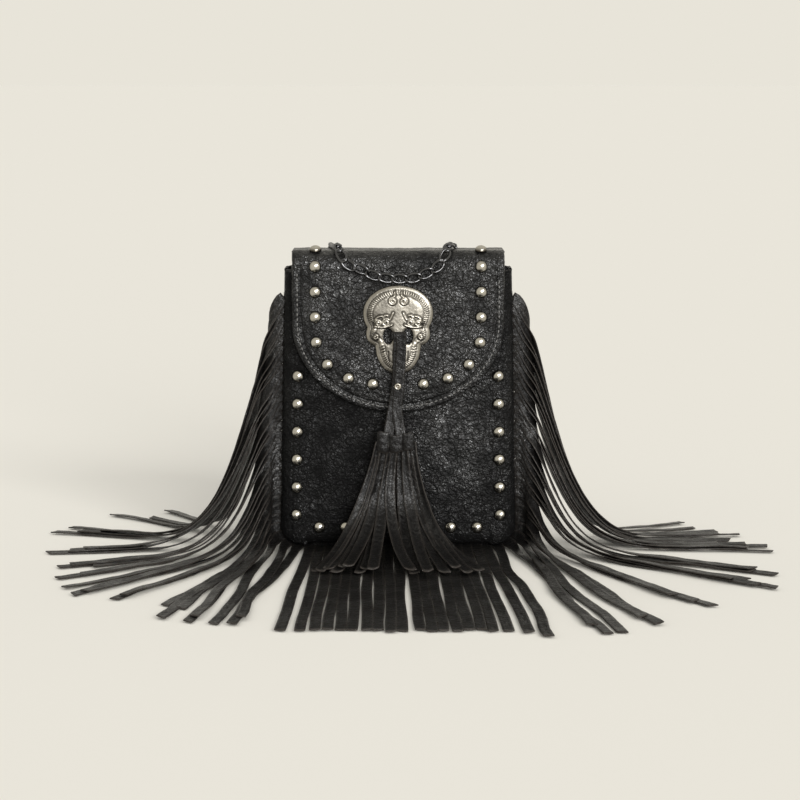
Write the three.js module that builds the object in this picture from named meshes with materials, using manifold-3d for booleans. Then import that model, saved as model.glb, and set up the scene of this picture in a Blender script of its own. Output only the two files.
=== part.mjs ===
// A small leather flap bag with cut fringe, dome studs, a cast concho, a tassel and a curb chain.
// Millimetres. +Z is up, the front faces -Y, and the origin is the middle of the flat base.
import * as THREE from "three";
import { mergeVertices } from "three/addons/utils/BufferGeometryUtils.js";
import Module from "manifold-3d";

// Body
const BASE_WIDTH = 150;
const MOUTH_WIDTH = 143;
const FRONT_HEIGHT = 178;
const CORNER_RADIUS = 16;
const LEATHER = 1.8;
const GUSSET_DEPTH = 17.4;
const FRONT_PUFF = 6;
const BACK_PUFF = 2;
const ROLL = 9; // how far in from its edge a panel's puff is full
const FRONT_RIM_RISE = 3; // the front panel's lower edge clears the fringe that passes under it
const GAP = 0.3; // between pieces that touch

// Lining
const LINING_THICKNESS = 0.6;
const LINING_DROP = 2; // below the mouth

// Flap
const FLAP_HALF_WIDTH = 66;
const FLAP_THICKNESS = 2;
const FLAP_RISE = 12; // the flap's top over the front panel's
const FLAP_DROP = 101; // from the flap's top down to its tip
const FLAP_STRAIGHT = 45; // from the flap's top down to where its sides turn into the curve
const FLAP_FOLD_RADIUS = 9;
const FLAP_STAND_OFF = 5; // from the front panel to the flap's outer face at the fold
const FLAP_LEAN = 0.012; // forward for each millimetre down
const FLAP_PUFF = 1;
const FLAP_BORDER = 6;

// Studs
const STUD_RADIUS = 3.9;
const STUD_HEIGHT = 2.9;
const FLAP_STUD_PITCH = 15.8;
const FLAP_STUD_INSET = 14.2;
const FLAP_STUD_SQUARENESS = 2.5; // the stud line's curve is a little squarer than the edge's ellipse
const COLUMN_STUD_INSET = 10;
const COLUMN_STUD_PITCH = 17.7;
const COLUMN_STUDS = 6;
const COLUMN_LOWEST = 22.5;
const ROW_STUDS = 7;
const ROW_STUD_HEIGHT = 14.5;
const ROW_STUD_SPAN = 100;
const TOP_STUD_TILT = 27; // degrees forward of straight up, on the flap's fold
const STUD_LINE_DROP = 3; // the stud line starts to curve this far below the flap's own curve

// Snap
const SNAP_RISE = 23; // over the flap's tip
const SNAP_RADIUS = 7;
const SNAP_STUD_THICKNESS = 1.4;

// Concho
const CONCHO_DROP = 21; // from the flap's top to the concho's
const CONCHO_CROWN_HALF_WIDTH = 22;
const CONCHO_CROWN_HEIGHT = 17.6;
const CONCHO_CHEEK_HALF_WIDTH = 20.4;
const CONCHO_JAW_HALF_WIDTH = 14.5;
const CONCHO_LENGTH = 56;
const CONCHO_CHIN_HALF_WIDTH = 10.5;
const CONCHO_JAW_HEIGHT = 18; // from the chin to the cheeks
const CONCHO_NOTCH_DROP = 8.8; // from the crown's widest place to the notch above the cheeks
const CONCHO_NOTCH = 1; // its depth
const CONCHO_RIM = 0.8;
const CONCHO_RIM_WIDTH = 3;
const CONCHO_RIM_RISE = 1.6; // over that width
const CONCHO_SHOULDER = 9; // from the edge to where the dome is full
const CONCHO_POST_RADIUS = 2.5;
const CONCHO_POST_RISE = 4; // above the crown's widest place
const CONCHO_DOME = 3.4;
const CONCHO_METAL = 1.4;
const EYE_SPACING = 12.2;
const EYE_WIDTH = 5.4;
const EYE_HEIGHT = 10;
const EYE_RISE = 24.1; // from the chin to the eyes

// Strap and tassel
const STRAP_WIDTH = 6;
const STRAP_THICKNESS = 1.1;
const STRAP_DROP = 64; // from the eyes to the top of the cut strands
const TASSEL_STRANDS = 14;
const TASSEL_STRAND_WIDTH = 6.2;
const TASSEL_SPREAD = 96;
const TASSEL_REACH = 76; // how far in front of the strap the tips rest
const TASSEL_TIP_HEIGHT = 3;
const TASSEL_LAYER = 2.2; // from the front layer of strands to the back one, where they are bound
const TASSEL_LAYER_REACH = 9; // how much less far the back layer reaches
const TASSEL_LAYER_RISE = 1.6; // how much higher the front layer's tips lie
const TASSEL_PLAY = 2;
const TASSEL_DROP_CURVE = 1.7; // how soon a strand drops, how late it spreads and how late it flares
const TASSEL_SPREAD_CURVE = 1.35;
const TASSEL_FLARE_CURVE = 3;
const TASSEL_NECK_SHARE = 0.36; // a strand's width where it is bound
const TASSEL_BAND_WIDTH = 20;
const TASSEL_BAND_HEIGHT = 11;
const TASSEL_BAND_DEPTH = 3.4;
const LEG_STEP = 0.6; // the front leg lies this far in front of the other
const BACK_LEG = [0.6, -6.4]; // where each leg is at the eyes and at the band
const FRONT_LEG = [2.6, 2.4];
const RIVET_RADIUS = 2.3;
const RIVET_HEIGHT = 1.3;
const RIVET_DROP = 31;
const RIVET_X = -0.2; // both legs pass under the rivet

// Fringe
const STRAND_WIDTH = 5.9;
const STRAND_PITCH = 6.2;
const STRAND_THICKNESS = 0.9;
const STRAND_LENGTH = 250;
const HEADER_WIDTH = 6;
const FRINGE_DROP = 15; // from the front panel's top to the highest strand
const FLOOR_CLEARANCE = 0.1;
// Where a side's tips rest on the floor, outwards from the middle and to the rear, from the front
// of the bag to its back.
const TIPS_LEFT = [
  [84, -243],
  [107, -237],
  [131, -222],
  [163, -180],
  [197, -140],
  [208, -85],
  [222, -30],
  [227, 30],
  [217, 60],
  [193, 100],
  [160, 121],
];
const TIPS_RIGHT = [
  [82, -267],
  [101, -266],
  [121, -258],
  [145, -238],
  [178, -192],
  [215, -145],
  [226, -100],
  [236, -30],
  [230, 10],
  [212, 35],
  [192, 70],
];
const BASE_FAN = 2.5; // degrees, for the outermost strand of the base
const TURN_RUN = 12; // a strand turns to its heading over this run
const LENGTH_PLAY = 4;
const SWAY = 0.05; // how much a line wanders from its heading
const SWAY_LENGTH = 31; // millimetres of run for one radian of it
const SWAY_ONSET = 60;
const SWAY_SHIFT = 0.1; // radians, from one strand to the next
const STEP = 0.5; // from point to point of a strand's line
const LOOK_BACK = 4; // along a line, for its direction
const NECK = 3; // from the seam to the first row of a side's sheet beyond it
const PARTING_RUN = 34; // where a side's strands part
const PARTING_ROWS = 5; // from the neck to there
const ROW_CROWDING = 1.3; // towards the seam
const PARTING_GAP = 0.6;
const STRAND_ROWS = 4; // from the parting to a strand's tip
const SEAM_RISE = 1.5; // of the seam line at the base
const FALL_RUN = [22, 31]; // how far out the lowest and highest strands are at half their height

// Chain
const LINK_LENGTH = 11.8;
const LINK_WIDTH = 7;
const LINK_WIRE = 1.7;
const LINK_TWIST = 0.72;
const LINK_OVERLAP = 0.2; // neighbouring links are fused where they bear
const HIDDEN_CHAIN_RADIUS = 2.4;
const HIDDEN_CHAIN_DROP = 6; // from the top of the chain to where its hidden stretch starts
const HIDDEN_CHAIN_PLUMB = 28; // from the front panel's top to where it hangs plumb
const HIDDEN_CHAIN_FLARE = 60; // the height where it starts to leave the back panel
const CHAIN_LEFT = -42; // where the chain passes over the back's edge
const CHAIN_RIGHT = 35;
const RING_WIRE = 1.8;
const RING_WIDTH = 16.4;
const RING_HEIGHT = 12;
const RING_SHOULDER = 2; // from the ring's bar to where its bow starts
const TAB_WIDTH = 11;
const TAB_HEIGHT = 14;
const TAB_THICKNESS = 1.6;
const TAB_X = 56;
const TAB_DROP = 8; // from the flap's top to the tab's

const wasm = await Module();
wasm.setup();

const material = (color, roughness, metalness) =>
  new THREE.MeshStandardMaterial({ color, roughness, metalness });
const blackLeather = material(0x1b1a1a, 0.5, 0);
const strandLeather = material(0x171515, 0.55, 0);
const liningCloth = material(0x2a2624, 0.9, 0);
const pewter = material(0x9a9284, 0.35, 1);
const agedBrass = material(0xa59a80, 0.3, 1);
const gunmetal = material(0x4a4a4c, 0.3, 1);

const bag = new THREE.Group();

// Adds a named piece to the bag.
function add(name, geometry, finish) {
  geometry.computeVertexNormals();
  const mesh = new THREE.Mesh(geometry, finish);
  mesh.name = name;
  bag.add(mesh);
  return mesh;
}

const at = (x, y, z) => new THREE.Vector3(x, y, z);
const mix = (a, b, t) => a + (b - a) * t;
const clamp01 = (t) => Math.min(1, Math.max(0, t));
const smooth = (t) => clamp01(t) ** 2 * (3 - 2 * clamp01(t));
const radians = (degrees) => (degrees * Math.PI) / 180;
const range = (count) => Array.from({ length: count }, (_, i) => i);

// A repeatable number from -1 to 1 for the hand-cut look of the strands.
function uneven(index, series) {
  const wave = Math.sin(index * 12.9898 + series * 78.233) * 43758.5453;
  return 2 * (wave - Math.floor(wave)) - 1;
}

// A geometry from points and triangles, with its faces turned outwards.
function solidFrom(points, faces) {
  const volume = faces.reduce(
    (sum, [a, b, c]) => sum + points[a].dot(at(0, 0, 0).crossVectors(points[b], points[c])),
    0,
  );
  const outward = volume < 0 ? faces.map(([a, b, c]) => [a, c, b]) : faces;
  const geometry = new THREE.BufferGeometry().setFromPoints(points);
  geometry.setIndex(outward.flat());
  return geometry;
}

// The two triangles of a four-sided face.
const quad = (a, b, c, d) => [
  [a, b, c],
  [a, c, d],
];

// A closed skin over a row of rings. Each end is a flat cap, or a fan to its pole.
function skin(rings, startPole, endPole) {
  const n = rings[0].length;
  const points = rings.flat();
  const faces = [];
  for (let r = 0; r + 1 < rings.length; r += 1)
    for (let i = 0; i < n; i += 1) {
      const j = (i + 1) % n;
      faces.push(...quad(r * n + i, r * n + j, (r + 1) * n + j, (r + 1) * n + i));
    }
  const cap = (base, pole, turn) => {
    const fan = pole
      ? range(n).map((i) => [points.length, base + ((i + 1) % n), base + i])
      : range(n - 2).map((i) => [base, base + i + 2, base + i + 1]);
    if (pole) points.push(pole);
    faces.push(...(turn ? fan.map(([a, b, c]) => [a, c, b]) : fan));
  };
  cap(0, startPole, false);
  cap((rings.length - 1) * n, endPole, true);
  return solidFrom(points, faces);
}

// A closed skin over a row of rings whose last ring meets its first.
function hoop(rings) {
  const n = rings[0].length;
  const faces = [];
  rings.forEach((ring, r) =>
    ring.forEach((point, i) => {
      const next = ((r + 1) % rings.length) * n;
      const j = (i + 1) % n;
      faces.push(...quad(r * n + i, r * n + j, next + j, next + i));
    }),
  );
  return solidFrom(rings.flat(), faces);
}

// A sheet with two faces. place(row, column, side) gives its points, side 0 outside and 1 inside.
function sheet(rows, columns, place) {
  const points = [];
  for (const side of [0, 1])
    for (let r = 0; r < rows; r += 1)
      for (let c = 0; c < columns; c += 1) points.push(place(r, c, side));
  const id = (r, c, side) => side * rows * columns + r * columns + c;
  const faces = [];
  for (let r = 0; r + 1 < rows; r += 1)
    for (let c = 0; c + 1 < columns; c += 1) {
      faces.push(...quad(id(r, c, 0), id(r, c + 1, 0), id(r + 1, c + 1, 0), id(r + 1, c, 0)));
      faces.push(...quad(id(r, c, 1), id(r + 1, c, 1), id(r + 1, c + 1, 1), id(r, c + 1, 1)));
    }
  for (let r = 0; r + 1 < rows; r += 1)
    for (const c of [0, columns - 1]) {
      const edge = quad(id(r, c, 0), id(r + 1, c, 0), id(r + 1, c, 1), id(r, c, 1));
      faces.push(...(c ? edge.map(([a, b, d]) => [a, d, b]) : edge));
    }
  for (let c = 0; c + 1 < columns; c += 1)
    for (const r of [0, rows - 1]) {
      const edge = quad(id(r, c, 0), id(r, c, 1), id(r, c + 1, 1), id(r, c + 1, 0));
      faces.push(...(r ? edge.map(([a, b, d]) => [a, d, b]) : edge));
    }
  return solidFrom(points, faces);
}

// A geometry as a solid that can be joined and cut, and back.
function toSolid(geometry) {
  const bare = geometry.clone();
  bare.deleteAttribute("normal");
  bare.deleteAttribute("uv");
  const merged = mergeVertices(bare, 1e-4);
  return new wasm.Manifold(
    new wasm.Mesh({
      numProp: 3,
      vertProperties: new Float32Array(merged.attributes.position.array),
      triVerts: new Uint32Array(merged.index.array),
    }),
  );
}

function fromSolid(solid) {
  const mesh = solid.getMesh();
  const geometry = new THREE.BufferGeometry();
  geometry.setAttribute("position", new THREE.BufferAttribute(mesh.vertProperties, 3));
  geometry.setIndex(new THREE.BufferAttribute(mesh.triVerts, 1));
  return geometry;
}

const joined = (geometries) =>
  fromSolid(geometries.map(toSolid).reduce((whole, piece) => whole.add(piece)));

const cut = (geometry, tools) =>
  fromSolid(tools.map(toSolid).reduce((whole, tool) => whole.subtract(tool), toSolid(geometry)));

// The bag's depth, from the front seam to the back one.
const HEADER_FRONT = -8;
const HEADER_BACK = HEADER_FRONT + STRAND_THICKNESS;
const FRONT_RIM = HEADER_FRONT - GAP - LEATHER;
const FRONT_FACE = FRONT_RIM - FRONT_PUFF;
const GUSSET_FRONT = HEADER_BACK + GAP;
const GUSSET_BACK = GUSSET_FRONT + GUSSET_DEPTH;
const BACK_RIM = GUSSET_BACK + GAP + LEATHER;
const BACK_FACE = BACK_RIM + BACK_PUFF;

// Heights that follow the front panel's.
const FLAP_TOP = FRONT_HEIGHT + FLAP_RISE;
const FLAP_TIP = FLAP_TOP - FLAP_DROP;
const FLAP_CURVE_START = FLAP_TOP - FLAP_STRAIGHT;
const SNAP_HEIGHT = FLAP_TIP + SNAP_RISE;
const CONCHO_TOP = FLAP_TOP - CONCHO_DROP;
const TAB_TOP = FLAP_TOP - TAB_DROP;
const FRINGE_TOP = FRONT_HEIGHT - FRINGE_DROP;

// Half the bag's width at a height.
const halfWidth = (z) => mix(BASE_WIDTH, MOUTH_WIDTH, z / FRONT_HEIGHT) / 2;

// The open outline from the top left, round the base, to the top right, as [x, z] pairs.
// rise lifts its lower edge and inset draws all of it inwards.
function bagOutline(top, rise, inset) {
  const arcSteps = 5;
  const arcX = BASE_WIDTH / 2 - CORNER_RADIUS;
  const right = [[arcX / 2, rise + inset]];
  for (let i = 0; i <= arcSteps; i += 1) {
    const turn = (i / arcSteps) * (Math.PI / 2);
    const reach = CORNER_RADIUS - inset;
    right.push([
      arcX + reach * Math.sin(turn) - (BASE_WIDTH / 2 - halfWidth(CORNER_RADIUS)) * Math.sin(turn),
      CORNER_RADIUS - (reach - rise) * Math.cos(turn),
    ]);
  }
  for (const share of [0.33, 0.67, 1]) {
    const z = mix(CORNER_RADIUS, top, share);
    right.push([halfWidth(z) - inset, z]);
  }
  return [...right.map(([x, z]) => [-x, z]).reverse(), ...right];
}

// A plate that is dished or puffed. Each ring is [how far in from the edge, height towards the front].
function dishedPlate(outline, hub, reach, face, back) {
  const ring = ([inwards, height]) => {
    const scale = 1 - inwards / reach;
    return outline.map(([x, z]) => at(mix(hub[0], x, scale), -height, mix(hub[1], z, scale)));
  };
  const pole = (rings) => at(hub[0], -rings[rings.length - 1][1], hub[1]);
  const rings = [...[...back].reverse().map(ring), ...face.map(ring)];
  return skin(rings, pole(back), pole(face));
}

// The puff of a panel: a quarter ellipse over the roll at its edge, then flat.
const puffAt = (inwards, puff) => puff * Math.sqrt(1 - (1 - clamp01(inwards / ROLL)) ** 2);
const PUFF_STEPS = [0, 0.06, 0.22, 0.5, 1].map((share) => share * ROLL);

function puffedPanel(outline, top, puff) {
  const face = PUFF_STEPS.map((step) => [step, LEATHER + puffAt(step, puff)]);
  const back = PUFF_STEPS.map((step) => [step, puffAt(step, puff)]);
  return dishedPlate(outline, [0, top / 2], BASE_WIDTH / 2, face, back);
}

const frontOutline = bagOutline(FRONT_HEIGHT, FRONT_RIM_RISE, 0);
for (const x of [MOUTH_WIDTH / 4, 0, -MOUTH_WIDTH / 4]) frontOutline.push([x, FRONT_HEIGHT]);
const frontPanel = puffedPanel(frontOutline, FRONT_HEIGHT, FRONT_PUFF);
frontPanel.translate(0, FRONT_RIM + LEATHER, 0);
add("front_panel", frontPanel, blackLeather);

// The back panel goes up to the flap, and above the gusset it is only as wide as the flap.
const BACK_TOP = FLAP_TOP - FLAP_THICKNESS - GAP;
const backOutline = bagOutline(FRONT_HEIGHT, 0, 0);
backOutline.push([FLAP_HALF_WIDTH, FRONT_HEIGHT + GAP]);
for (const share of [1, 0.5, 0, -0.5, -1]) backOutline.push([share * FLAP_HALF_WIDTH, BACK_TOP]);
backOutline.push([-FLAP_HALF_WIDTH, FRONT_HEIGHT + GAP]);
const backPanel = puffedPanel(backOutline, BACK_TOP, BACK_PUFF);
backPanel.rotateZ(Math.PI);
backPanel.translate(0, BACK_RIM - LEATHER, 0);
add("back_panel", backPanel, blackLeather);

// A flat shape in the plane of the front, given a depth from y = 0 to y = depth.
function extrudedBack(outline, depth) {
  const shape = new THREE.Shape(outline.map(([x, z]) => new THREE.Vector2(x, z)));
  const geometry = new THREE.ExtrudeGeometry(shape, { depth, bevelEnabled: false });
  geometry.rotateX(Math.PI / 2);
  geometry.translate(0, depth, 0);
  return geometry;
}

const gussetOuter = bagOutline(FRONT_HEIGHT, 0, 0);
const gussetInner = bagOutline(FRONT_HEIGHT, 0, LEATHER);
const gusset = extrudedBack([...gussetOuter, ...gussetInner.reverse()], GUSSET_DEPTH);
gusset.translate(0, GUSSET_FRONT, 0);
add("gusset", gusset, blackLeather);

function lining() {
  const inset = LEATHER + GAP;
  const depth = GUSSET_DEPTH - GAP;
  const top = FRONT_HEIGHT - LINING_DROP;
  const outer = extrudedBack(bagOutline(top, 0, inset), depth);
  const innerDepth = depth - 2 * LINING_THICKNESS;
  const inner = extrudedBack(bagOutline(top + GAP, 0, inset + LINING_THICKNESS), innerDepth);
  inner.translate(0, LINING_THICKNESS, 0);
  return cut(outer, [inner]).translate(0, GUSSET_FRONT, 0);
}
add("lining", lining(), liningCloth);

// Flap. Its outer face runs from the rear edge over the top, round the fold and down the front.
const FLAP_FACE = FRONT_FACE - FLAP_STAND_OFF;
const FOLD_Y = FLAP_FACE + FLAP_FOLD_RADIUS;
const FOLD_Z = FLAP_TOP - FLAP_FOLD_RADIUS;
const flapFaceY = (z) => FLAP_FACE - FLAP_LEAN * (FOLD_Z - z);

// Half the flap's width at a height: straight sides, then a half ellipse.
function flapHalfWidth(z) {
  const drop = clamp01((FLAP_CURVE_START - z) / (FLAP_CURVE_START - FLAP_TIP));
  return FLAP_HALF_WIDTH * Math.sqrt(1 - drop ** 2);
}

// How far a point of the hanging face is from the flap's edge, and the puff there.
function flapEdgeDistance(x, z) {
  if (z > FLAP_CURVE_START) return FLAP_HALF_WIDTH - Math.abs(x);
  const across = x / FLAP_HALF_WIDTH;
  const down = (FLAP_CURVE_START - z) / (FLAP_CURVE_START - FLAP_TIP);
  return (1 - Math.hypot(across, down)) * (FLAP_CURVE_START - FLAP_TIP);
}
const flapPuff = (x, z) => FLAP_PUFF * smooth((flapEdgeDistance(x, z) - FLAP_BORDER) / FLAP_BORDER);

// Rows of the flap as [y, z, tilt of its outward normal from straight up], from the rear forwards.
function flapRows() {
  const foldSteps = 5;
  const curveSteps = 8;
  const lastShare = 0.965; // the tip stays a short straight edge
  const rows = [
    [BACK_RIM, FLAP_TOP, 0],
    [0, FLAP_TOP, 0],
  ];
  for (let i = 0; i <= foldSteps; i += 1) {
    const turn = (i / foldSteps) * (Math.PI / 2);
    const y = FOLD_Y - FLAP_FOLD_RADIUS * Math.sin(turn);
    rows.push([y, FOLD_Z + FLAP_FOLD_RADIUS * Math.cos(turn), turn]);
  }
  const middleZ = mix(FOLD_Z, FLAP_CURVE_START, 0.6);
  rows.push([flapFaceY(middleZ), middleZ, Math.PI / 2]);
  for (let i = 0; i <= curveSteps; i += 1) {
    const turn = Math.min(i / curveSteps, lastShare) * (Math.PI / 2);
    const z = FLAP_CURVE_START - (FLAP_CURVE_START - FLAP_TIP) * Math.sin(turn);
    rows.push([flapFaceY(z), z, Math.PI / 2]);
  }
  return rows;
}

function flap() {
  const rows = flapRows();
  const right = [0.4, 1 - (2 * FLAP_BORDER) / FLAP_HALF_WIDTH, 1 - FLAP_BORDER / FLAP_HALF_WIDTH, 1];
  const columns = [...right.map((share) => -share).reverse(), 0, ...right];
  return sheet(rows.length, columns.length, (r, c, side) => {
    const [y, z, tilt] = rows[r];
    const x = columns[c] * flapHalfWidth(z);
    const puff = y > FOLD_Y ? 0 : flapPuff(x, z) * Math.sin(tilt);
    const out = side ? puff - FLAP_THICKNESS : puff;
    return at(x, y - out * Math.sin(tilt), z + out * Math.cos(tilt));
  });
}
add("flap", flap(), blackLeather);

// A turned piece whose profile is [radius, height] pairs, standing on a point along a direction.
function turned(profile, segments, point, direction) {
  const outline = profile.map(([radius, height]) => new THREE.Vector2(radius, height));
  const geometry = new THREE.LatheGeometry(outline, segments);
  const turn = new THREE.Quaternion().setFromUnitVectors(at(0, 1, 0), direction);
  geometry.applyQuaternion(turn);
  geometry.translate(point.x, point.y, point.z);
  return geometry;
}

const domeProfile = (radius, height) => [
  [0, 0],
  [radius, 0],
  [radius * 0.97, height * 0.35],
  [radius * 0.66, height * 0.83],
  [0, height],
];

const forwards = at(0, -1, 0);
const upwards = at(0, 0, 1);

// A dome stud on a surface point, clear of it by the gap.
function stud(name, point, direction) {
  const seat = point.clone().addScaledVector(direction, GAP);
  add(name, turned(domeProfile(STUD_RADIUS, STUD_HEIGHT), 8, seat, direction), agedBrass);
}

const onFlap = (x, z) => at(x, flapFaceY(z) - flapPuff(x, z), z);

// The flap's stud line from the middle of its curve to the top: [x, z] pairs a pitch apart.
function flapStudLine() {
  const halfSpan = FLAP_HALF_WIDTH - FLAP_STUD_INSET;
  const low = FLAP_TIP + FLAP_STUD_INSET + STUD_HEIGHT;
  const curveTop = FLAP_CURVE_START - STUD_LINE_DROP;
  const steps = 60;
  const line = [];
  for (let i = 0; i <= steps; i += 1) {
    const x = halfSpan * Math.sin((i / steps) * (Math.PI / 2));
    const lift = (1 - (x / halfSpan) ** FLAP_STUD_SQUARENESS) ** (1 / FLAP_STUD_SQUARENESS);
    line.push(new THREE.Vector2(x, curveTop - (curveTop - low) * lift));
  }
  line.push(new THREE.Vector2(halfSpan, FOLD_Z + FLAP_STUD_PITCH));
  const studs = [];
  let walked = 0;
  for (let i = 0; i + 1 < line.length; i += 1) {
    const step = line[i].distanceTo(line[i + 1]);
    while (studs.length * FLAP_STUD_PITCH < walked + step) {
      const share = (studs.length * FLAP_STUD_PITCH - walked) / step;
      studs.push(line[i].clone().lerp(line[i + 1], share));
    }
    walked += step;
  }
  return studs.filter(({ y }) => y < FOLD_Z);
}

flapStudLine().forEach(({ x, y: z }, i) => {
  if (i === 0) stud("flap_stud_middle", onFlap(0, z), forwards);
  else {
    stud(`flap_stud_left_${i}`, onFlap(-x, z), forwards);
    stud(`flap_stud_right_${i}`, onFlap(x, z), forwards);
  }
});
const topStudTilt = radians(TOP_STUD_TILT);
const topStudWay = at(0, -Math.sin(topStudTilt), Math.cos(topStudTilt));
for (const [side, name] of [
  [-1, "left"],
  [1, "right"],
]) {
  const x = side * (FLAP_HALF_WIDTH - FLAP_STUD_INSET);
  const foldReach = FLAP_FOLD_RADIUS + FLAP_PUFF * Math.sin(topStudTilt);
  const onFold = at(x, FOLD_Y, FOLD_Z).addScaledVector(topStudWay, foldReach);
  stud(`flap_stud_${name}_top`, onFold, topStudWay);
  for (let i = 0; i < COLUMN_STUDS; i += 1) {
    const z = COLUMN_LOWEST + i * COLUMN_STUD_PITCH;
    const columnX = side * (halfWidth(z) - COLUMN_STUD_INSET);
    stud(`body_stud_${name}_${i + 1}`, at(columnX, FRONT_FACE, z), forwards);
  }
}
range(ROW_STUDS).forEach((i) => {
  const x = mix(-ROW_STUD_SPAN / 2, ROW_STUD_SPAN / 2, i / (ROW_STUDS - 1));
  stud(`body_stud_base_${i + 1}`, at(x, FRONT_FACE, ROW_STUD_HEIGHT), forwards);
});

// Magnetic snap: the stud under the flap, and the socket that fills the rest of the space.
const snapBack = flapFaceY(SNAP_HEIGHT) - FLAP_PUFF + FLAP_THICKNESS + GAP;
const snapStud = [
  [0, 0],
  [SNAP_RADIUS, 0],
  [SNAP_RADIUS, SNAP_STUD_THICKNESS],
  [0, SNAP_STUD_THICKNESS],
];
const snapTop = at(0, snapBack + SNAP_STUD_THICKNESS, SNAP_HEIGHT);
add("snap_stud", turned(snapStud, 20, snapTop, forwards), pewter);
const socketThickness = FRONT_FACE - GAP - (snapTop.y + GAP);
const snapSocket = snapStud.map(([radius, height]) => [radius, height ? socketThickness : 0]);
const socketSeat = at(0, FRONT_FACE - GAP, SNAP_HEIGHT);
add("snap_socket", turned(snapSocket, 20, socketSeat, forwards), pewter);

// Concho: a domed plate in outline a skull, with two eye holes and a screw post at the back.
const CROWN_Z = CONCHO_TOP - CONCHO_CROWN_HEIGHT;
const CONCHO_BOTTOM = CONCHO_TOP - CONCHO_LENGTH;
const EYE_Z = CONCHO_BOTTOM + EYE_RISE;
const CONCHO_SEAT = flapFaceY(CONCHO_BOTTOM) - FLAP_PUFF - GAP;

function conchoOutline() {
  const shape = new THREE.Shape();
  const notchZ = CROWN_Z - CONCHO_NOTCH_DROP;
  const notchX = CONCHO_CHEEK_HALF_WIDTH - CONCHO_NOTCH;
  const jawZ = CONCHO_BOTTOM + CONCHO_JAW_HEIGHT;
  const jawX = CONCHO_JAW_HALF_WIDTH;
  const crownX = CONCHO_CROWN_HALF_WIDTH;
  const cheekX = CONCHO_CHEEK_HALF_WIDTH + 2 * CONCHO_NOTCH;
  shape.moveTo(0, CONCHO_BOTTOM);
  shape.quadraticCurveTo(
    CONCHO_CHIN_HALF_WIDTH,
    CONCHO_BOTTOM + CONCHO_NOTCH,
    jawX - CONCHO_NOTCH,
    mix(CONCHO_BOTTOM, jawZ, 2 / 3),
  );
  shape.lineTo(jawX, jawZ);
  shape.quadraticCurveTo(cheekX, jawZ + CONCHO_RIM_WIDTH, notchX, notchZ);
  shape.quadraticCurveTo(crownX, mix(notchZ, CROWN_Z, 0.45), crownX, CROWN_Z);
  shape.absellipse(0, CROWN_Z, crownX, CONCHO_CROWN_HEIGHT, 0, Math.PI / 2);
  const right = shape.getPoints(4);
  const mirrored = right.slice(1, -1).map(({ x, y }) => [-x, y]);
  return [...right.map(({ x, y }) => [x, y]), ...mirrored.reverse()];
}

function concho() {
  const outline = conchoOutline();
  const hub = [0, CROWN_Z - CONCHO_NOTCH_DROP / 2];
  const face = [
    [0, CONCHO_RIM],
    [CONCHO_RIM_WIDTH, CONCHO_RIM + CONCHO_RIM_RISE],
    [CONCHO_SHOULDER, CONCHO_DOME],
  ];
  const back = [
    [CONCHO_METAL, 0],
    [CONCHO_METAL + CONCHO_RIM_WIDTH - CONCHO_RIM, CONCHO_RIM],
    [CONCHO_SHOULDER, CONCHO_DOME - CONCHO_METAL],
  ];
  const plate = dishedPlate(outline, hub, CONCHO_CROWN_HALF_WIDTH, face, back);
  const eyes = [-1, 1].map((side) => {
    const eye = new THREE.CylinderGeometry(1, 1, 4 * CONCHO_DOME, 16);
    eye.scale(EYE_WIDTH / 2, 1, EYE_HEIGHT / 2);
    eye.translate((side * EYE_SPACING) / 2, 0, EYE_Z);
    return eye;
  });
  const postLength = CONCHO_DOME - CONCHO_METAL / 2;
  const post = new THREE.CylinderGeometry(CONCHO_POST_RADIUS, CONCHO_POST_RADIUS, postLength, 10);
  post.translate(0, -postLength / 2, CROWN_Z + CONCHO_POST_RISE);
  const whole = cut(joined([plate, post]), eyes);
  return whole.translate(0, CONCHO_SEAT, 0);
}
add("concho", concho(), pewter);

// A flat strip along a row of stations, each with a point, the way along it and the way across it.
function strip(stations, width, thickness) {
  const rings = stations.map(({ point, along, across, share = 1 }) => {
    const side = across.clone().addScaledVector(along, -across.dot(along)).normalize();
    const normal = at(0, 0, 0).crossVectors(along, side);
    return [
      [-1, -1],
      [1, -1],
      [1, 1],
      [-1, 1],
    ].map(([u, v]) =>
      point
        .clone()
        .addScaledVector(side, (u * share * width) / 2)
        .addScaledVector(normal, (v * thickness) / 2),
    );
  });
  return skin(rings);
}

// Stations along a curve whose strip keeps facing the front.
function facingStations(points) {
  return points.map((point, i) => {
    const from = points[Math.max(0, i - 1)];
    const to = points[Math.min(points.length - 1, i + 1)];
    return { point, along: to.clone().sub(from).normalize(), across: at(1, 0, 0) };
  });
}

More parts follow.
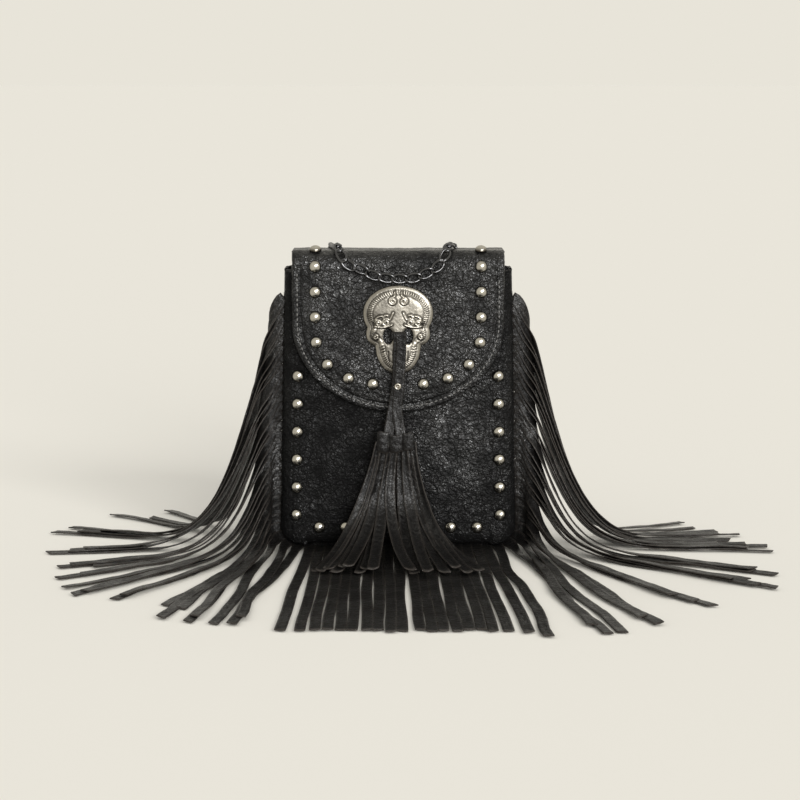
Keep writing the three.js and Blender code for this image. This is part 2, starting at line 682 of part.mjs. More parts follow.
// The strap's loop round the bridge between the eyes.
const eyeHalfAtStrap = (EYE_WIDTH / 2) * Math.sqrt(1 - (STRAP_WIDTH / EYE_HEIGHT) ** 2);
const BRIDGE_HALF = EYE_SPACING / 2 - eyeHalfAtStrap;
const bridgeFront = CONCHO_SEAT - CONCHO_DOME;
function thongLoop() {
  const clear = GAP + STRAP_THICKNESS / 2;
  const halfX = BRIDGE_HALF + clear;
  const frontY = bridgeFront - clear;
  const backY = bridgeFront + CONCHO_METAL + clear;
  const corners = [
    [-halfX, frontY],
    [halfX, frontY],
    [halfX, backY],
    [-halfX, backY],
  ];
  const half = STRAP_THICKNESS / 2;
  const rings = corners.map(([x, y]) => {
    const outX = Math.sign(x) * half;
    const outY = Math.sign(y - (frontY + backY) / 2) * half;
    return [
      at(x - outX, y - outY, EYE_Z - STRAP_WIDTH / 2),
      at(x + outX, y + outY, EYE_Z - STRAP_WIDTH / 2),
      at(x + outX, y + outY, EYE_Z + STRAP_WIDTH / 2),
      at(x - outX, y - outY, EYE_Z + STRAP_WIDTH / 2),
    ];
  });
  return hoop(rings);
}
add("thong_loop", thongLoop(), strandLeather);

// Tassel: two legs from the loop, a gathered band, and strands whose tips rest on the base fringe.
const PIVOT = at(0, bridgeFront - 2 * GAP - 1.5 * STRAP_THICKNESS, EYE_Z);
const BAND_Z = EYE_Z - STRAP_DROP;
const BAND_Y = PIVOT.y - TASSEL_BAND_DEPTH / 2;

function tasselStrand(index) {
  const half = TASSEL_STRANDS / 2;
  const layer = index < half ? 0 : 1;
  const place = ((index % half) + 0.25 + layer * 0.5) / half - 0.5;
  const topX = place * (TASSEL_BAND_WIDTH - 1);
  const tipX = place * TASSEL_SPREAD + TASSEL_PLAY * uneven(index, 1);
  const topY = BAND_Y + (layer - 0.5) * TASSEL_LAYER;
  const reach = TASSEL_REACH - layer * TASSEL_LAYER_REACH + TASSEL_PLAY * uneven(index, 2);
  const tip = TASSEL_TIP_HEIGHT + (1 - layer) * TASSEL_LAYER_RISE;
  const steps = 6;
  const shares = range(steps + 1).map((i) => i / steps);
  const points = shares.map((t) => {
    const z = mix(BAND_Z, tip, 1 - (1 - t) ** TASSEL_DROP_CURVE);
    const x = mix(topX, tipX, t ** TASSEL_SPREAD_CURVE);
    return at(x, topY - reach * t ** TASSEL_FLARE_CURVE, z);
  });
  const stations = facingStations(points);
  stations.forEach((station, i) => {
    station.share = mix(TASSEL_NECK_SHARE, 1, smooth(2 * shares[i]));
  });
  return strip(stations, TASSEL_STRAND_WIDTH, STRAND_THICKNESS);
}

function tassel() {
  const leg = ([topX, bottomX], forward) =>
    strip(
      facingStations([
        at(topX, PIVOT.y - forward, PIVOT.z),
        at(RIVET_X, PIVOT.y - forward, PIVOT.z - RIVET_DROP),
        at(bottomX, BAND_Y - forward, BAND_Z - STRAP_THICKNESS),
      ]),
      STRAP_WIDTH,
      STRAP_THICKNESS,
    );
  const band = new THREE.BoxGeometry(TASSEL_BAND_WIDTH, TASSEL_BAND_DEPTH, TASSEL_BAND_HEIGHT);
  band.translate(0, BAND_Y, BAND_Z - TASSEL_BAND_HEIGHT / 2 + STRAP_THICKNESS);
  const strands = range(TASSEL_STRANDS).map(tasselStrand);
  return joined([band, leg(BACK_LEG, 0), leg(FRONT_LEG, LEG_STEP), ...strands]);
}
add("tassel", tassel(), strandLeather);

const legFace = PIVOT.y - LEG_STEP - STRAP_THICKNESS / 2;
const rivetSeat = at(RIVET_X, legFace - GAP, PIVOT.z - RIVET_DROP);
const rivet = turned(domeProfile(RIVET_RADIUS, RIVET_HEIGHT), 8, rivetSeat, forwards);
add("tassel_rivet", rivet, pewter);

// Fringe. The seam line that the strands leave is the bag's outline, lifted a little at the base.
const seamArc = CORNER_RADIUS * (Math.PI / 2);
const seamBaseHalf = BASE_WIDTH / 2 - CORNER_RADIUS;
const floorMiddle = FLOOR_CLEARANCE + STRAND_THICKNESS / 2;
const headerMiddle = (HEADER_FRONT + HEADER_BACK) / 2;
const sideStart = seamBaseHalf + GAP / 2;
const sideEnd = seamBaseHalf + seamArc + FRINGE_TOP - CORNER_RADIUS;

// A point of the right half of the seam, walked from the middle of the base, and its turn:
// 0 where the strands leave forwards at the base, a right angle where they leave sideways.
function seamAt(walked) {
  if (walked < seamBaseHalf) return { x: walked, z: SEAM_RISE, turn: 0 };
  const turn = Math.min((walked - seamBaseHalf) / CORNER_RADIUS, Math.PI / 2);
  const over = Math.max(0, walked - seamBaseHalf - seamArc);
  const z = CORNER_RADIUS - (CORNER_RADIUS - SEAM_RISE) * Math.cos(turn) + over;
  const taper = (BASE_WIDTH / 2 - halfWidth(z)) * Math.sin(turn);
  return { x: seamBaseHalf + CORNER_RADIUS * Math.sin(turn) - taper, z, turn };
}

// The line a strand takes from a place on the seam to where its tip rests: sideways or down out of
// the seam, round to its heading, and falling until it runs out over the floor.
function fallLine(seam, across, tip, sway) {
  const outward = at(across * Math.sin(seam.turn), -Math.cos(seam.turn), 0);
  const start = at(across * seam.x, headerMiddle, seam.z);
  const turned = start.clone().addScaledVector(outward, TURN_RUN / 2);
  const heading = at(tip[0] - turned.x, tip[1] - turned.y, 0);
  const reach = TURN_RUN / 2 + heading.length();
  heading.normalize();
  const fallRun = mix(...FALL_RUN, seam.z / FRINGE_TOP);
  const points = [start];
  for (let run = STEP; run < reach + 2 * LENGTH_PLAY; run += STEP) {
    const way = outward.clone().lerp(heading, smooth(run / TURN_RUN)).normalize();
    const drift = SWAY * Math.sin(run / SWAY_LENGTH + sway) * smooth(run / SWAY_ONSET);
    way.addScaledVector(at(-way.y, way.x, 0), drift);
    const next = points[points.length - 1].clone().addScaledVector(way, STEP);
    next.z = floorMiddle + (seam.z - floorMiddle) / (1 + (run / fallRun) ** 3);
    points.push(next);
  }
  return { points, reach };
}
const onLine = ({ points }, run) => points[Math.min(points.length - 1, Math.round(run / STEP))];

// A place along a list of points, from 0 at its first to 1 at its last.
function alongList(list, share) {
  const place = share * (list.length - 1);
  const i = Math.min(Math.floor(place), list.length - 2);
  return list[i].map((value, k) => mix(value, list[i + 1][k], place - i));
}

// A cut strip. It is one sheet from its header in the seam to where its strands, which lie on each
// other near the bag, part from their neighbours. Beyond that each strand has its own length.
function fringeStrip({ side, from, to, tipAt, partingRun, partingRows, series }) {
  const count = Math.round((to - from) / STRAND_PITCH);
  const seams = range(count + 1).map((i) => {
    const walked = mix(from, to, i / count);
    return { ...seamAt(Math.abs(walked)), across: walked < 0 ? -side : side };
  });
  const lines = seams.map((seam, i) =>
    fallLine(seam, seam.across, tipAt(i / count, seam), series + SWAY_SHIFT * i),
  );
  const header = seams.map(({ x, z, turn, across }) =>
    at(across * (x - HEADER_WIDTH * Math.sin(turn)), headerMiddle, z + HEADER_WIDTH * Math.cos(turn)),
  );
  const shared = [header, lines.map(({ points: [start] }) => start)];
  for (let i = 0; i < partingRows; i += 1) {
    const run = mix(NECK, partingRun, (i / (partingRows - 1)) ** ROW_CROWDING);
    shared.push(lines.map((line) => onLine(line, run)));
  }
  const points = [];
  const faces = [];
  const addPair = (middle, normal) => {
    const half = normal.clone().multiplyScalar(STRAND_THICKNESS / 2);
    points.push(middle.clone().add(half), middle.clone().sub(half));
    return points.length - 2;
  };
  const grid = shared.map((row, r) =>
    row.map((point, i) => {
      const before = shared[Math.max(0, r - 1)][i];
      const after = shared[Math.min(shared.length - 1, r + 1)][i];
      const along = after.clone().sub(before);
      const over = row[Math.min(count, i + 1)].clone().sub(row[Math.max(0, i - 1)]);
      return addPair(point, at(0, 0, 0).crossVectors(over, along).normalize());
    }),
  );
  const facePair = (a, b, c, d) => {
    faces.push(...quad(a, b, c, d), ...quad(a + 1, d + 1, c + 1, b + 1));
  };
  const wall = (a, b) => faces.push(...quad(a, b, b + 1, a + 1));
  for (let r = 0; r + 1 < grid.length; r += 1) {
    for (let i = 0; i < count; i += 1)
      facePair(grid[r][i], grid[r][i + 1], grid[r + 1][i + 1], grid[r + 1][i]);
    wall(grid[r][0], grid[r + 1][0]);
    wall(grid[r + 1][count], grid[r][count]);
  }
  for (let i = 0; i < count; i += 1) wall(grid[0][i + 1], grid[0][i]);
  for (let i = 0; i < count; i += 1) {
    const play = LENGTH_PLAY * uneven(i, series + 5);
    let left = grid[grid.length - 1][i];
    let right = grid[grid.length - 1][i + 1];
    for (let k = 1; k <= STRAND_ROWS; k += 1) {
      const share = k / STRAND_ROWS;
      const [a, b] = [lines[i], lines[i + 1]].map((line) => {
        const run = mix(partingRun, line.reach + play, share);
        return { before: onLine(line, run - LOOK_BACK), here: onLine(line, run) };
      });
      const halfAcross = b.here.clone().sub(a.here).multiplyScalar(0.5);
      const room = halfAcross.length();
      const half = Math.min(STRAND_WIDTH / 2, room - PARTING_GAP / 2);
      const shift = (room - half - PARTING_GAP / 2) * uneven(i, series) * share;
      const across = halfAcross.clone().normalize();
      const middle = a.here.clone().lerp(b.here, 0.5).addScaledVector(across, shift);
      const along = a.here.clone().sub(a.before);
      const normal = at(0, 0, 0).crossVectors(across, along).normalize();
      const nextLeft = addPair(middle.clone().addScaledVector(across, -half), normal);
      const nextRight = addPair(middle.clone().addScaledVector(across, half), normal);
      facePair(left, right, nextRight, nextLeft);
      wall(left, nextLeft);
      wall(nextRight, right);
      [left, right] = [nextLeft, nextRight];
    }
    wall(left, right);
  }
  return solidFrom(points, faces);
}

function sideFringe(side, tips, series) {
  return fringeStrip({
    side,
    from: sideStart,
    to: sideEnd,
    tipAt: (share) => {
      const [out, back] = alongList(tips, share);
      return [side * out, back];
    },
    partingRun: PARTING_RUN,
    partingRows: PARTING_ROWS,
    series,
  });
}
const baseHalf = seamBaseHalf - GAP / 2;
const baseFringe = fringeStrip({
  side: 1,
  from: -baseHalf,
  to: baseHalf,
  tipAt: (share, { x, across }) => {
    const turn = radians(BASE_FAN) * (2 * share - 1) ** 2;
    const out = x + STRAND_LENGTH * Math.sin(turn);
    return [across * out, headerMiddle - STRAND_LENGTH * Math.cos(turn)];
  },
  partingRun: 0,
  partingRows: 0,
  series: 12,
});
add("fringe_left", sideFringe(-1, TIPS_LEFT, 11), strandLeather);
add("fringe_base", baseFringe, strandLeather);
add("fringe_right", sideFringe(1, TIPS_RIGHT, 13), strandLeather);

// Chain. Its middle line lies on the flap: from the fold line at the rear, over the top, down the
// front in one swag and back over the top.
const CHAIN_LIFT = LINK_WIRE / 2 + LINK_TWIST + GAP; // from the leather to the chain's middle
const HINGE_Y = BACK_RIM + CHAIN_LIFT;
const HINGE_Z = FLAP_TOP + CHAIN_LIFT;
const overTop = (x, y) => at(x, y, FLAP_TOP + CHAIN_LIFT);
const swagLow = CONCHO_TOP + LINK_WIDTH / 2 + 2 * GAP;
const foldMiddle = (x, turn) =>
  at(
    x,
    FOLD_Y - (FLAP_FOLD_RADIUS + FLAP_PUFF + CHAIN_LIFT) * Math.sin(turn),
    FOLD_Z + (FLAP_FOLD_RADIUS + FLAP_PUFF + CHAIN_LIFT) * Math.cos(turn),
  );
const onFront = (x, z) => at(x, flapFaceY(z) - FLAP_PUFF - CHAIN_LIFT, z);
const frontRoute = [
  overTop(CHAIN_LEFT, HINGE_Y - 5),
  overTop(-41, 0),
  overTop(-40, FOLD_Y),
  foldMiddle(-38, radians(45)),
  foldMiddle(-35, radians(82)),
  onFront(-26, swagLow + 7.5),
  onFront(-19, swagLow + 3.4),
  onFront(-11, swagLow + 0.8),
  onFront(-2, swagLow),
  onFront(6, swagLow),
  onFront(14, swagLow + 1.4),
  onFront(21, swagLow + 5.4),
  foldMiddle(27, radians(82)),
  foldMiddle(31, radians(45)),
  overTop(33, FOLD_Y),
  overTop(34, 0),
  overTop(CHAIN_RIGHT, HINGE_Y - 5),
];

// The outward normal of the leather under a point of the chain.
function leatherNormal(point) {
  if (point.y > FOLD_Y) return upwards.clone();
  if (point.z < FOLD_Z) return forwards.clone();
  return at(0, point.y - FOLD_Y, point.z - FOLD_Z).normalize();
}

// A twisted link as a closed ring of square sections.
function link(middle, along, normal) {
  const across = at(0, 0, 0).crossVectors(normal, along).normalize();
  const lift = at(0, 0, 0).crossVectors(along, across).normalize();
  const halfLength = (LINK_LENGTH - LINK_WIRE) / 2;
  const halfAcross = (LINK_WIDTH - LINK_WIRE) / 2;
  const steps = 10;
  const wire = LINK_WIRE / 2;
  const rings = range(steps).map((i) => {
    const turn = (i / steps) * 2 * Math.PI;
    const spine = (offset) =>
      middle
        .clone()
        .addScaledVector(along, (halfLength + offset) * Math.cos(turn))
        .addScaledVector(across, (halfAcross + offset) * Math.sin(turn));
    const twist = LINK_TWIST * Math.sin(2 * turn);
    return [
      spine(wire).addScaledVector(lift, twist),
      spine(0).addScaledVector(lift, twist + wire),
      spine(-wire).addScaledVector(lift, twist),
      spine(0).addScaledVector(lift, twist - wire),
    ];
  });
  return hoop(rings);
}

function chainFront() {
  const route = new THREE.CatmullRomCurve3(frontRoute, false, "centripetal");
  route.arcLengthDivisions = 400;
  const pitch = LINK_LENGTH - 2 * LINK_WIRE - LINK_OVERLAP;
  const count = Math.floor(route.getLength() / pitch);
  const links = range(count + 1).map((i) => {
    const middle = route.getPointAt(i / count);
    return link(middle, route.getTangentAt(i / count), leatherNormal(middle));
  });
  return joined(links);
}
add("chain_front", chainFront(), gunmetal);

// A hidden stretch of the chain, as one round cord: down the back, over the floor, up to its ring.
const behind = BACK_FACE + GAP + HIDDEN_CHAIN_RADIUS;
const RING_TOP = TAB_TOP - TAB_HEIGHT;
function chainBack(side, startX) {
  const low = HIDDEN_CHAIN_RADIUS + GAP;
  const end = RING_TOP - RING_HEIGHT - RING_WIRE;
  const points = [
    at(startX, behind, HINGE_Z - HIDDEN_CHAIN_DROP),
    at(startX, behind, FRONT_HEIGHT - HIDDEN_CHAIN_PLUMB),
    at(startX, behind, HIDDEN_CHAIN_FLARE),
    at(startX, behind + 0.5, 20),
    at(startX, behind + 3, 8),
    at(startX - side, behind + 8, low + 1.5),
    at(startX - side * 3, behind + 15, low),
    at(startX - side * 7, behind + 27, low),
    at(startX - side * 4, behind + 40, low),
    at(startX + side * 8, behind + 44, low),
    at(startX + side * 15, behind + 32, low),
    at(side * TAB_X, behind + 17, low),
    at(side * TAB_X, behind + 9, low + 1.5),
    at(side * TAB_X, behind + 3, 8),
    at(side * TAB_X, behind + 0.5, 20),
    at(side * TAB_X, behind, HIDDEN_CHAIN_FLARE),
    at(side * TAB_X, behind, end),
  ];
  const route = new THREE.CatmullRomCurve3(points, false, "centripetal");
  const sides = 8;
  const section = new THREE.Shape(
    range(sides).map((k) => {
      const turn = (k / sides) * 2 * Math.PI;
      const [u, v] = [Math.cos(turn), Math.sin(turn)];
      return new THREE.Vector2(HIDDEN_CHAIN_RADIUS * u, HIDDEN_CHAIN_RADIUS * v);
    }),
  );
  return new THREE.ExtrudeGeometry(section, { steps: 36, extrudePath: route });
}
add("chain_back_left", chainBack(-1, CHAIN_LEFT), gunmetal);
add("chain_back_right", chainBack(1, CHAIN_RIGHT), gunmetal);

// A leather tab on the back panel, folded round the straight bar of a D-ring.
function ringTab(side) {
  const loopRadius = RING_WIRE / 2 + GAP + TAB_THICKNESS;
  const shape = new THREE.Shape();
  shape.moveTo(0, TAB_TOP);
  shape.lineTo(0, RING_TOP);
  shape.absarc(loopRadius, RING_TOP, loopRadius, Math.PI, 2 * Math.PI + Math.PI / 2.6, false);
  shape.lineTo(TAB_THICKNESS, RING_TOP + 2 * loopRadius);
  shape.lineTo(TAB_THICKNESS, TAB_TOP);
  const hole = new THREE.Path();
  hole.absarc(loopRadius, RING_TOP, RING_WIRE / 2 + GAP, 0, 2 * Math.PI, true);
  shape.holes.push(hole);
  const geometry = new THREE.ExtrudeGeometry(shape, {
    depth: TAB_WIDTH,
    bevelEnabled: false,
    curveSegments: 6,
  });
  geometry.applyMatrix4(
    new THREE.Matrix4().makeBasis(at(0, 1, 0), at(0, 0, 1), at(1, 0, 0)),
  );
  geometry.translate(side * TAB_X - TAB_WIDTH / 2, BACK_FACE + GAP, 0);
  return geometry;
}

function dRing(side) {
  const wire = RING_WIRE / 2;
  const middleY = BACK_FACE + GAP + wire + GAP + TAB_THICKNESS;
  const half = RING_WIDTH / 2 - wire;
  const route = [at(-half, 0, 0), at(-half / 3, 0, 0), at(half / 3, 0, 0), at(half, 0, 0)];
  const bowSteps = 9;
  for (let i = 1; i < bowSteps; i += 1) {
    const turn = (i / bowSteps) * Math.PI;
    const drop = RING_SHOULDER + (RING_HEIGHT - RING_SHOULDER) * Math.sin(turn);
    route.push(at(half * Math.cos(turn), 0, -drop));
  }
  const rings = route.map((point, i) => {
    const from = route[(i + route.length - 1) % route.length];
    const to = route[(i + 1) % route.length];
    const along = to.clone().sub(from).normalize();
    const out = at(0, 0, 0).crossVectors(along, at(0, 1, 0));
    const sides = 6;
    return range(sides).map((k) => {
      const turn = (k / sides) * 2 * Math.PI;
      return point
        .clone()
        .addScaledVector(out, wire * Math.cos(turn))
        .addScaledVector(at(0, 1, 0), wire * Math.sin(turn));
    });
  });
  return hoop(rings).translate(side * TAB_X, middleY, RING_TOP);
}
for (const [side, name] of [
  [-1, "left"],
  [1, "right"],
]) {
  add(`ring_tab_${name}`, ringTab(side), blackLeather);
  add(`d_ring_${name}`, dRing(side), gunmetal);
}

export default bag;
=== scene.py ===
"""A small fringed leather flap bag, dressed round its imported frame.

Lengths inside the geometry functions are millimetres. +Z is up and the front faces -Y.
"""

import math

import bmesh
import bpy
import numpy as np
from bpy.props import FloatProperty, FloatVectorProperty, PointerProperty
from bpy.types import Operator, Panel, PropertyGroup
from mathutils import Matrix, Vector, noise
from mathutils.geometry import delaunay_2d_cdt


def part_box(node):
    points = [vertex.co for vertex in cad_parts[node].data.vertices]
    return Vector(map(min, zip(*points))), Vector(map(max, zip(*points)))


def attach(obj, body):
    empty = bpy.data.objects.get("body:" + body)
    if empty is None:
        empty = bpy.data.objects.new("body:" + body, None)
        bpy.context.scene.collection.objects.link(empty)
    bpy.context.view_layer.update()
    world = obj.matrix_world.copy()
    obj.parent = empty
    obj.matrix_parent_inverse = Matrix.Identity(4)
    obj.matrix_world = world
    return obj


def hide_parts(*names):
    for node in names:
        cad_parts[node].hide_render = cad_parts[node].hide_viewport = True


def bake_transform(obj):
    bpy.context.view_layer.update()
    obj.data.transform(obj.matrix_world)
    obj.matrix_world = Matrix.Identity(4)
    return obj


bl_info = {
    "name": "Fringed Flap Bag",
    "version": (1, 0, 0),
    "blender": (4, 5, 0),
    "location": "View3D > Sidebar > Bag",
    "description": "Builds a fringed leather flap bag round its packed frame",
    "category": "Object",
}

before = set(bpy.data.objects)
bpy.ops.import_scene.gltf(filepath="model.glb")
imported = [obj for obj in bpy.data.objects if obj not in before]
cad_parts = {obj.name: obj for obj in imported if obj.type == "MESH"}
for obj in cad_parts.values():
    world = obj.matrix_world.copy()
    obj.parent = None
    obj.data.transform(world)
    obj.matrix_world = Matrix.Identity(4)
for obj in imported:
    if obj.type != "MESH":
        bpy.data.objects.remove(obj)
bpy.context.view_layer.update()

# The bag's body, as in the frame.
BASE_WIDTH = 150.0
MOUTH_WIDTH = 143.0
FRONT_HEIGHT = 178.0
CORNER = 16.0
LEATHER = 1.8
GAP = 0.3
GUSSET_DEPTH = 17.4
HEADER_FRONT = -8.0
STRAND = 0.9
FRONT_RIM = HEADER_FRONT - GAP - LEATHER
FRONT_PUFF = 6.0
FRONT_RISE = 3.0  # the front panel's lower edge clears the fringe
BACK_PUFF = 2.0
FRONT_FACE = FRONT_RIM - FRONT_PUFF
GUSSET_FRONT = HEADER_FRONT + STRAND + GAP
GUSSET_BACK = GUSSET_FRONT + GUSSET_DEPTH
BACK_RIM = GUSSET_BACK + GAP + LEATHER
BACK_FACE = BACK_RIM + BACK_PUFF
LINING_THICK = 0.6
LINING_DROP = 2  # below the mouth

# Its flap.
FLAP_HALF = 66.0
FLAP_THICK = 2.0
FLAP_TOP = 190.0
FLAP_TIP = 89.0
CURVE_START = 145.0
FOLD_RADIUS = 9.0
FLAP_STAND_OFF = 5.0
FLAP_FACE = FRONT_FACE - FLAP_STAND_OFF
FOLD_Y = FLAP_FACE + FOLD_RADIUS
FOLD_Z = FLAP_TOP - FOLD_RADIUS
FLAP_LEAN = 0.012
TOP_STUD_TILT = 14.0
CURVE_DROP = CURVE_START - FLAP_TIP
FLAP_SEWN = 2.9  # from the edge to its stitches
FLAP_GROOVE = 4.7  # from the edge to the groove inside them
FLAP_PUFF = 1.0

# Its concho, strap and chain.
CONCHO_TOP = 169.0
CONCHO_LENGTH = 56.0
CROWN_HEIGHT = 17.6
CROWN_HALF = 22.0
CONCHO_DOME = 3.4
TICK_PITCH = 1.75
CONCHO_METAL = 1.4
CROWN_Z = CONCHO_TOP - CROWN_HEIGHT
CONCHO_BOTTOM = CONCHO_TOP - CONCHO_LENGTH
EYE_Z = CONCHO_BOTTOM + CONCHO_LENGTH * 0.43
EYE_SPACING = 12.2
EYE_HALVES = (3.3, 5.0)
STRAP_WIDTH = 6.0
STRAP_THICK = 1.1
FRINGE_TOP = 163.0

up = np.array([0.0, 0.0, 1.0])
forwards = np.array([0.0, -1.0, 0.0])


def mix(a, b, t):
    return a + (b - a) * t


def smooth(t):
    t = np.clip(t, 0, 1)
    return t * t * (3 - 2 * t)


def unit(v):
    v = np.asarray(v, float)
    return v / np.maximum(np.linalg.norm(v, axis=-1, keepdims=True), 1e-9)


def uneven(index, series):
    """A repeatable number from -1 to 1 for the hand-cut look of the strands."""
    wave = math.sin(index * 12.9898 + series * 78.233) * 43758.5453
    return 2 * (wave - math.floor(wave)) - 1


def crowded(count, share=0.45):
    """Places from -1 to 1 that stand closer together towards both ends."""
    t = np.linspace(0, 1, count // 2 + 1)
    out = (1 - share) * t + share * (1 - (1 - t) ** 3)
    return np.concatenate([-out[:0:-1], out])


def half_width(z):
    return mix(BASE_WIDTH, MOUTH_WIDTH, z / FRONT_HEIGHT) / 2


def flap_y(z):
    return FLAP_FACE - FLAP_LEAN * (FOLD_Z - z)


# Meshes


def join(parts):
    """Several (points, faces) as one."""
    points, faces, base = [], [], 0
    for some_points, some_faces in parts:
        points.append(np.asarray(some_points, float).reshape(-1, 3))
        faces.extend([tuple(i + base for i in face) for face in some_faces])
        base += len(points[-1])
    return np.concatenate(points), faces


def piece(name, points, faces, material, body=None, nodes=(), marks=None):
    """A named object from points in millimetres. It rides on a body and may stand for CAD nodes.

    marks are named values for its points, which its material reads.
    """
    mesh = bpy.data.meshes.new(name)
    mesh.from_pydata((np.asarray(points) * 0.001).tolist(), [], faces)
    for key, values in (marks or {}).items():
        layer = mesh.attributes.new(key, "FLOAT", "POINT")
        layer.data.foreach_set("value", np.asarray(values, np.float32))
    mesh.validate()
    work = bmesh.new()
    work.from_mesh(mesh)
    bmesh.ops.recalc_face_normals(work, faces=work.faces)
    work.to_mesh(mesh)
    work.free()
    mesh.polygons.foreach_set("use_smooth", [True] * len(mesh.polygons))
    mesh.materials.append(material)
    built = bpy.data.objects.new(name, mesh)
    bpy.context.scene.collection.objects.link(built)
    if body:
        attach(built, body)
    if nodes:
        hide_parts(*nodes)
    return built


def sheet(grid, thickness, rounding=0.35):
    """A sheet from its outer face, a grid of rows by columns, with rounded edges."""
    rows, columns = grid.shape[:2]
    normal = unit(np.cross(np.gradient(grid, axis=1), np.gradient(grid, axis=0)))
    inner = grid - normal * thickness
    loop = [(0, c) for c in range(columns)]
    loop += [(r, columns - 1) for r in range(1, rows)]
    loop += [(rows - 1, c) for c in range(columns - 2, -1, -1)]
    loop += [(r, 0) for r in range(rows - 2, 0, -1)]
    rim = []
    for r, c in loop:
        inside = grid[min(max(r, 1), rows - 2), min(max(c, 1), columns - 2)]
        out = unit(grid[r, c] - inside)
        rim.append((grid[r, c] + inner[r, c]) / 2 + out * thickness * rounding)
    count = rows * columns
    faces = []
    for r in range(rows - 1):
        for c in range(columns - 1):
            a, b = r * columns + c, (r + 1) * columns + c
            faces.append((a, a + 1, b + 1, b))
            faces.append((count + a, count + b, count + b + 1, count + a + 1))
    for i, (r, c) in enumerate(loop):
        j = (i + 1) % len(loop)
        a, b = r * columns + c, loop[j][0] * columns + loop[j][1]
        faces.append((b, a, 2 * count + i, 2 * count + j))
        faces.append((2 * count + j, 2 * count + i, count + a, count + b))
    return np.concatenate([grid.reshape(-1, 3), inner.reshape(-1, 3), np.array(rim)]), faces


def tube(path, radius, sides=8, closed=False, scale=(1.0, 1.0), reference=up):
    """A round or oval section swept along a path, capped unless it is closed."""
    path = np.asarray(path, float)
    count = len(path)
    if closed:
        along = unit(np.roll(path, -1, 0) - np.roll(path, 1, 0))
    else:
        along = unit(np.gradient(path, axis=0))
    across = np.cross(along, reference)
    weak = np.linalg.norm(across, axis=1) < 0.05
    across[weak] = np.cross(along[weak], [0.0, 1.0, 0.2])
    across = unit(across)
    lift = np.cross(across, along)
    radii = np.broadcast_to(radius, (count,))
    turns = np.arange(sides) * 2 * math.pi / sides
    ring = (
        across[:, None] * (np.cos(turns) * scale[0])[None, :, None]
        + lift[:, None] * (np.sin(turns) * scale[1])[None, :, None]
    )
    points = (path[:, None] + ring * radii[:, None, None]).reshape(-1, 3)
    faces = []
    for i in range(count if closed else count - 1):
        j = (i + 1) % count
        for k in range(sides):
            m = (k + 1) % sides
            faces.append((i * sides + k, i * sides + m, j * sides + m, j * sides + k))
    if not closed:
        faces.append(tuple(range(sides)))
        faces.append(tuple(range((count - 1) * sides, count * sides)))
    return points, faces


def turned(profile, seat, direction, sides=32):
    """A turned piece whose profile is (radius, height) pairs, from axis to axis."""
    direction = unit(direction)
    across = unit(np.cross(direction, [1.0, 0.1, 0.2]))
    other = np.cross(direction, across)
    points, faces, rings = [], [], []
    for radius, height in profile:
        centre = np.asarray(seat) + direction * height
        if radius < 1e-6:
            rings.append([len(points)])
            points.append(centre)
            continue
        rings.append(list(range(len(points), len(points) + sides)))
        for k in range(sides):
            turn = 2 * math.pi * k / sides
            points.append(centre + radius * (across * math.cos(turn) + other * math.sin(turn)))
    for low, high in zip(rings, rings[1:]):
        for k in range(sides):
            m = (k + 1) % sides
            if len(low) == 1:
                faces.append((low[0], high[m], high[k]))
            elif len(high) == 1:
                faces.append((low[k], low[m], high[0]))
            else:
                faces.append((low[k], low[m], high[m], high[k]))
    return np.array(points), faces


def route(points, spacing):
    """Points a spacing apart on a smooth curve through the given ones, and the directions there."""
    p = np.asarray(points, float)
    p = np.vstack([2 * p[0] - p[1], p, 2 * p[-1] - p[-2]])
    fine = []
    for i in range(1, len(p) - 2):
        a, b, c, d = p[i - 1 : i + 3]
        t = [0.0]
        for m, n in ((a, b), (b, c), (c, d)):
            t.append(t[-1] + max(np.linalg.norm(n - m), 1e-6) ** 0.5)
        for s in np.linspace(t[1], t[2], 24, endpoint=False):
            ab = mix(a, b, (s - t[0]) / (t[1] - t[0]))
            bc = mix(b, c, (s - t[1]) / (t[2] - t[1]))
            cd = mix(c, d, (s - t[2]) / (t[3] - t[2]))
            abc = mix(ab, bc, (s - t[0]) / (t[2] - t[0]))
            bcd = mix(bc, cd, (s - t[1]) / (t[3] - t[1]))
            fine.append(mix(abc, bcd, (s - t[1]) / (t[2] - t[1])))
    fine.append(p[-2])
    fine = np.array(fine)
    walked = np.concatenate([[0], np.cumsum(np.linalg.norm(np.diff(fine, axis=0), axis=1))])
    count = max(2, round(walked[-1] / spacing) + 1)
    wanted = np.linspace(0, walked[-1], count)
    placed = np.stack([np.interp(wanted, walked, fine[:, k]) for k in range(3)], 1)
    return placed, unit(np.gradient(placed, axis=0))


# Materials


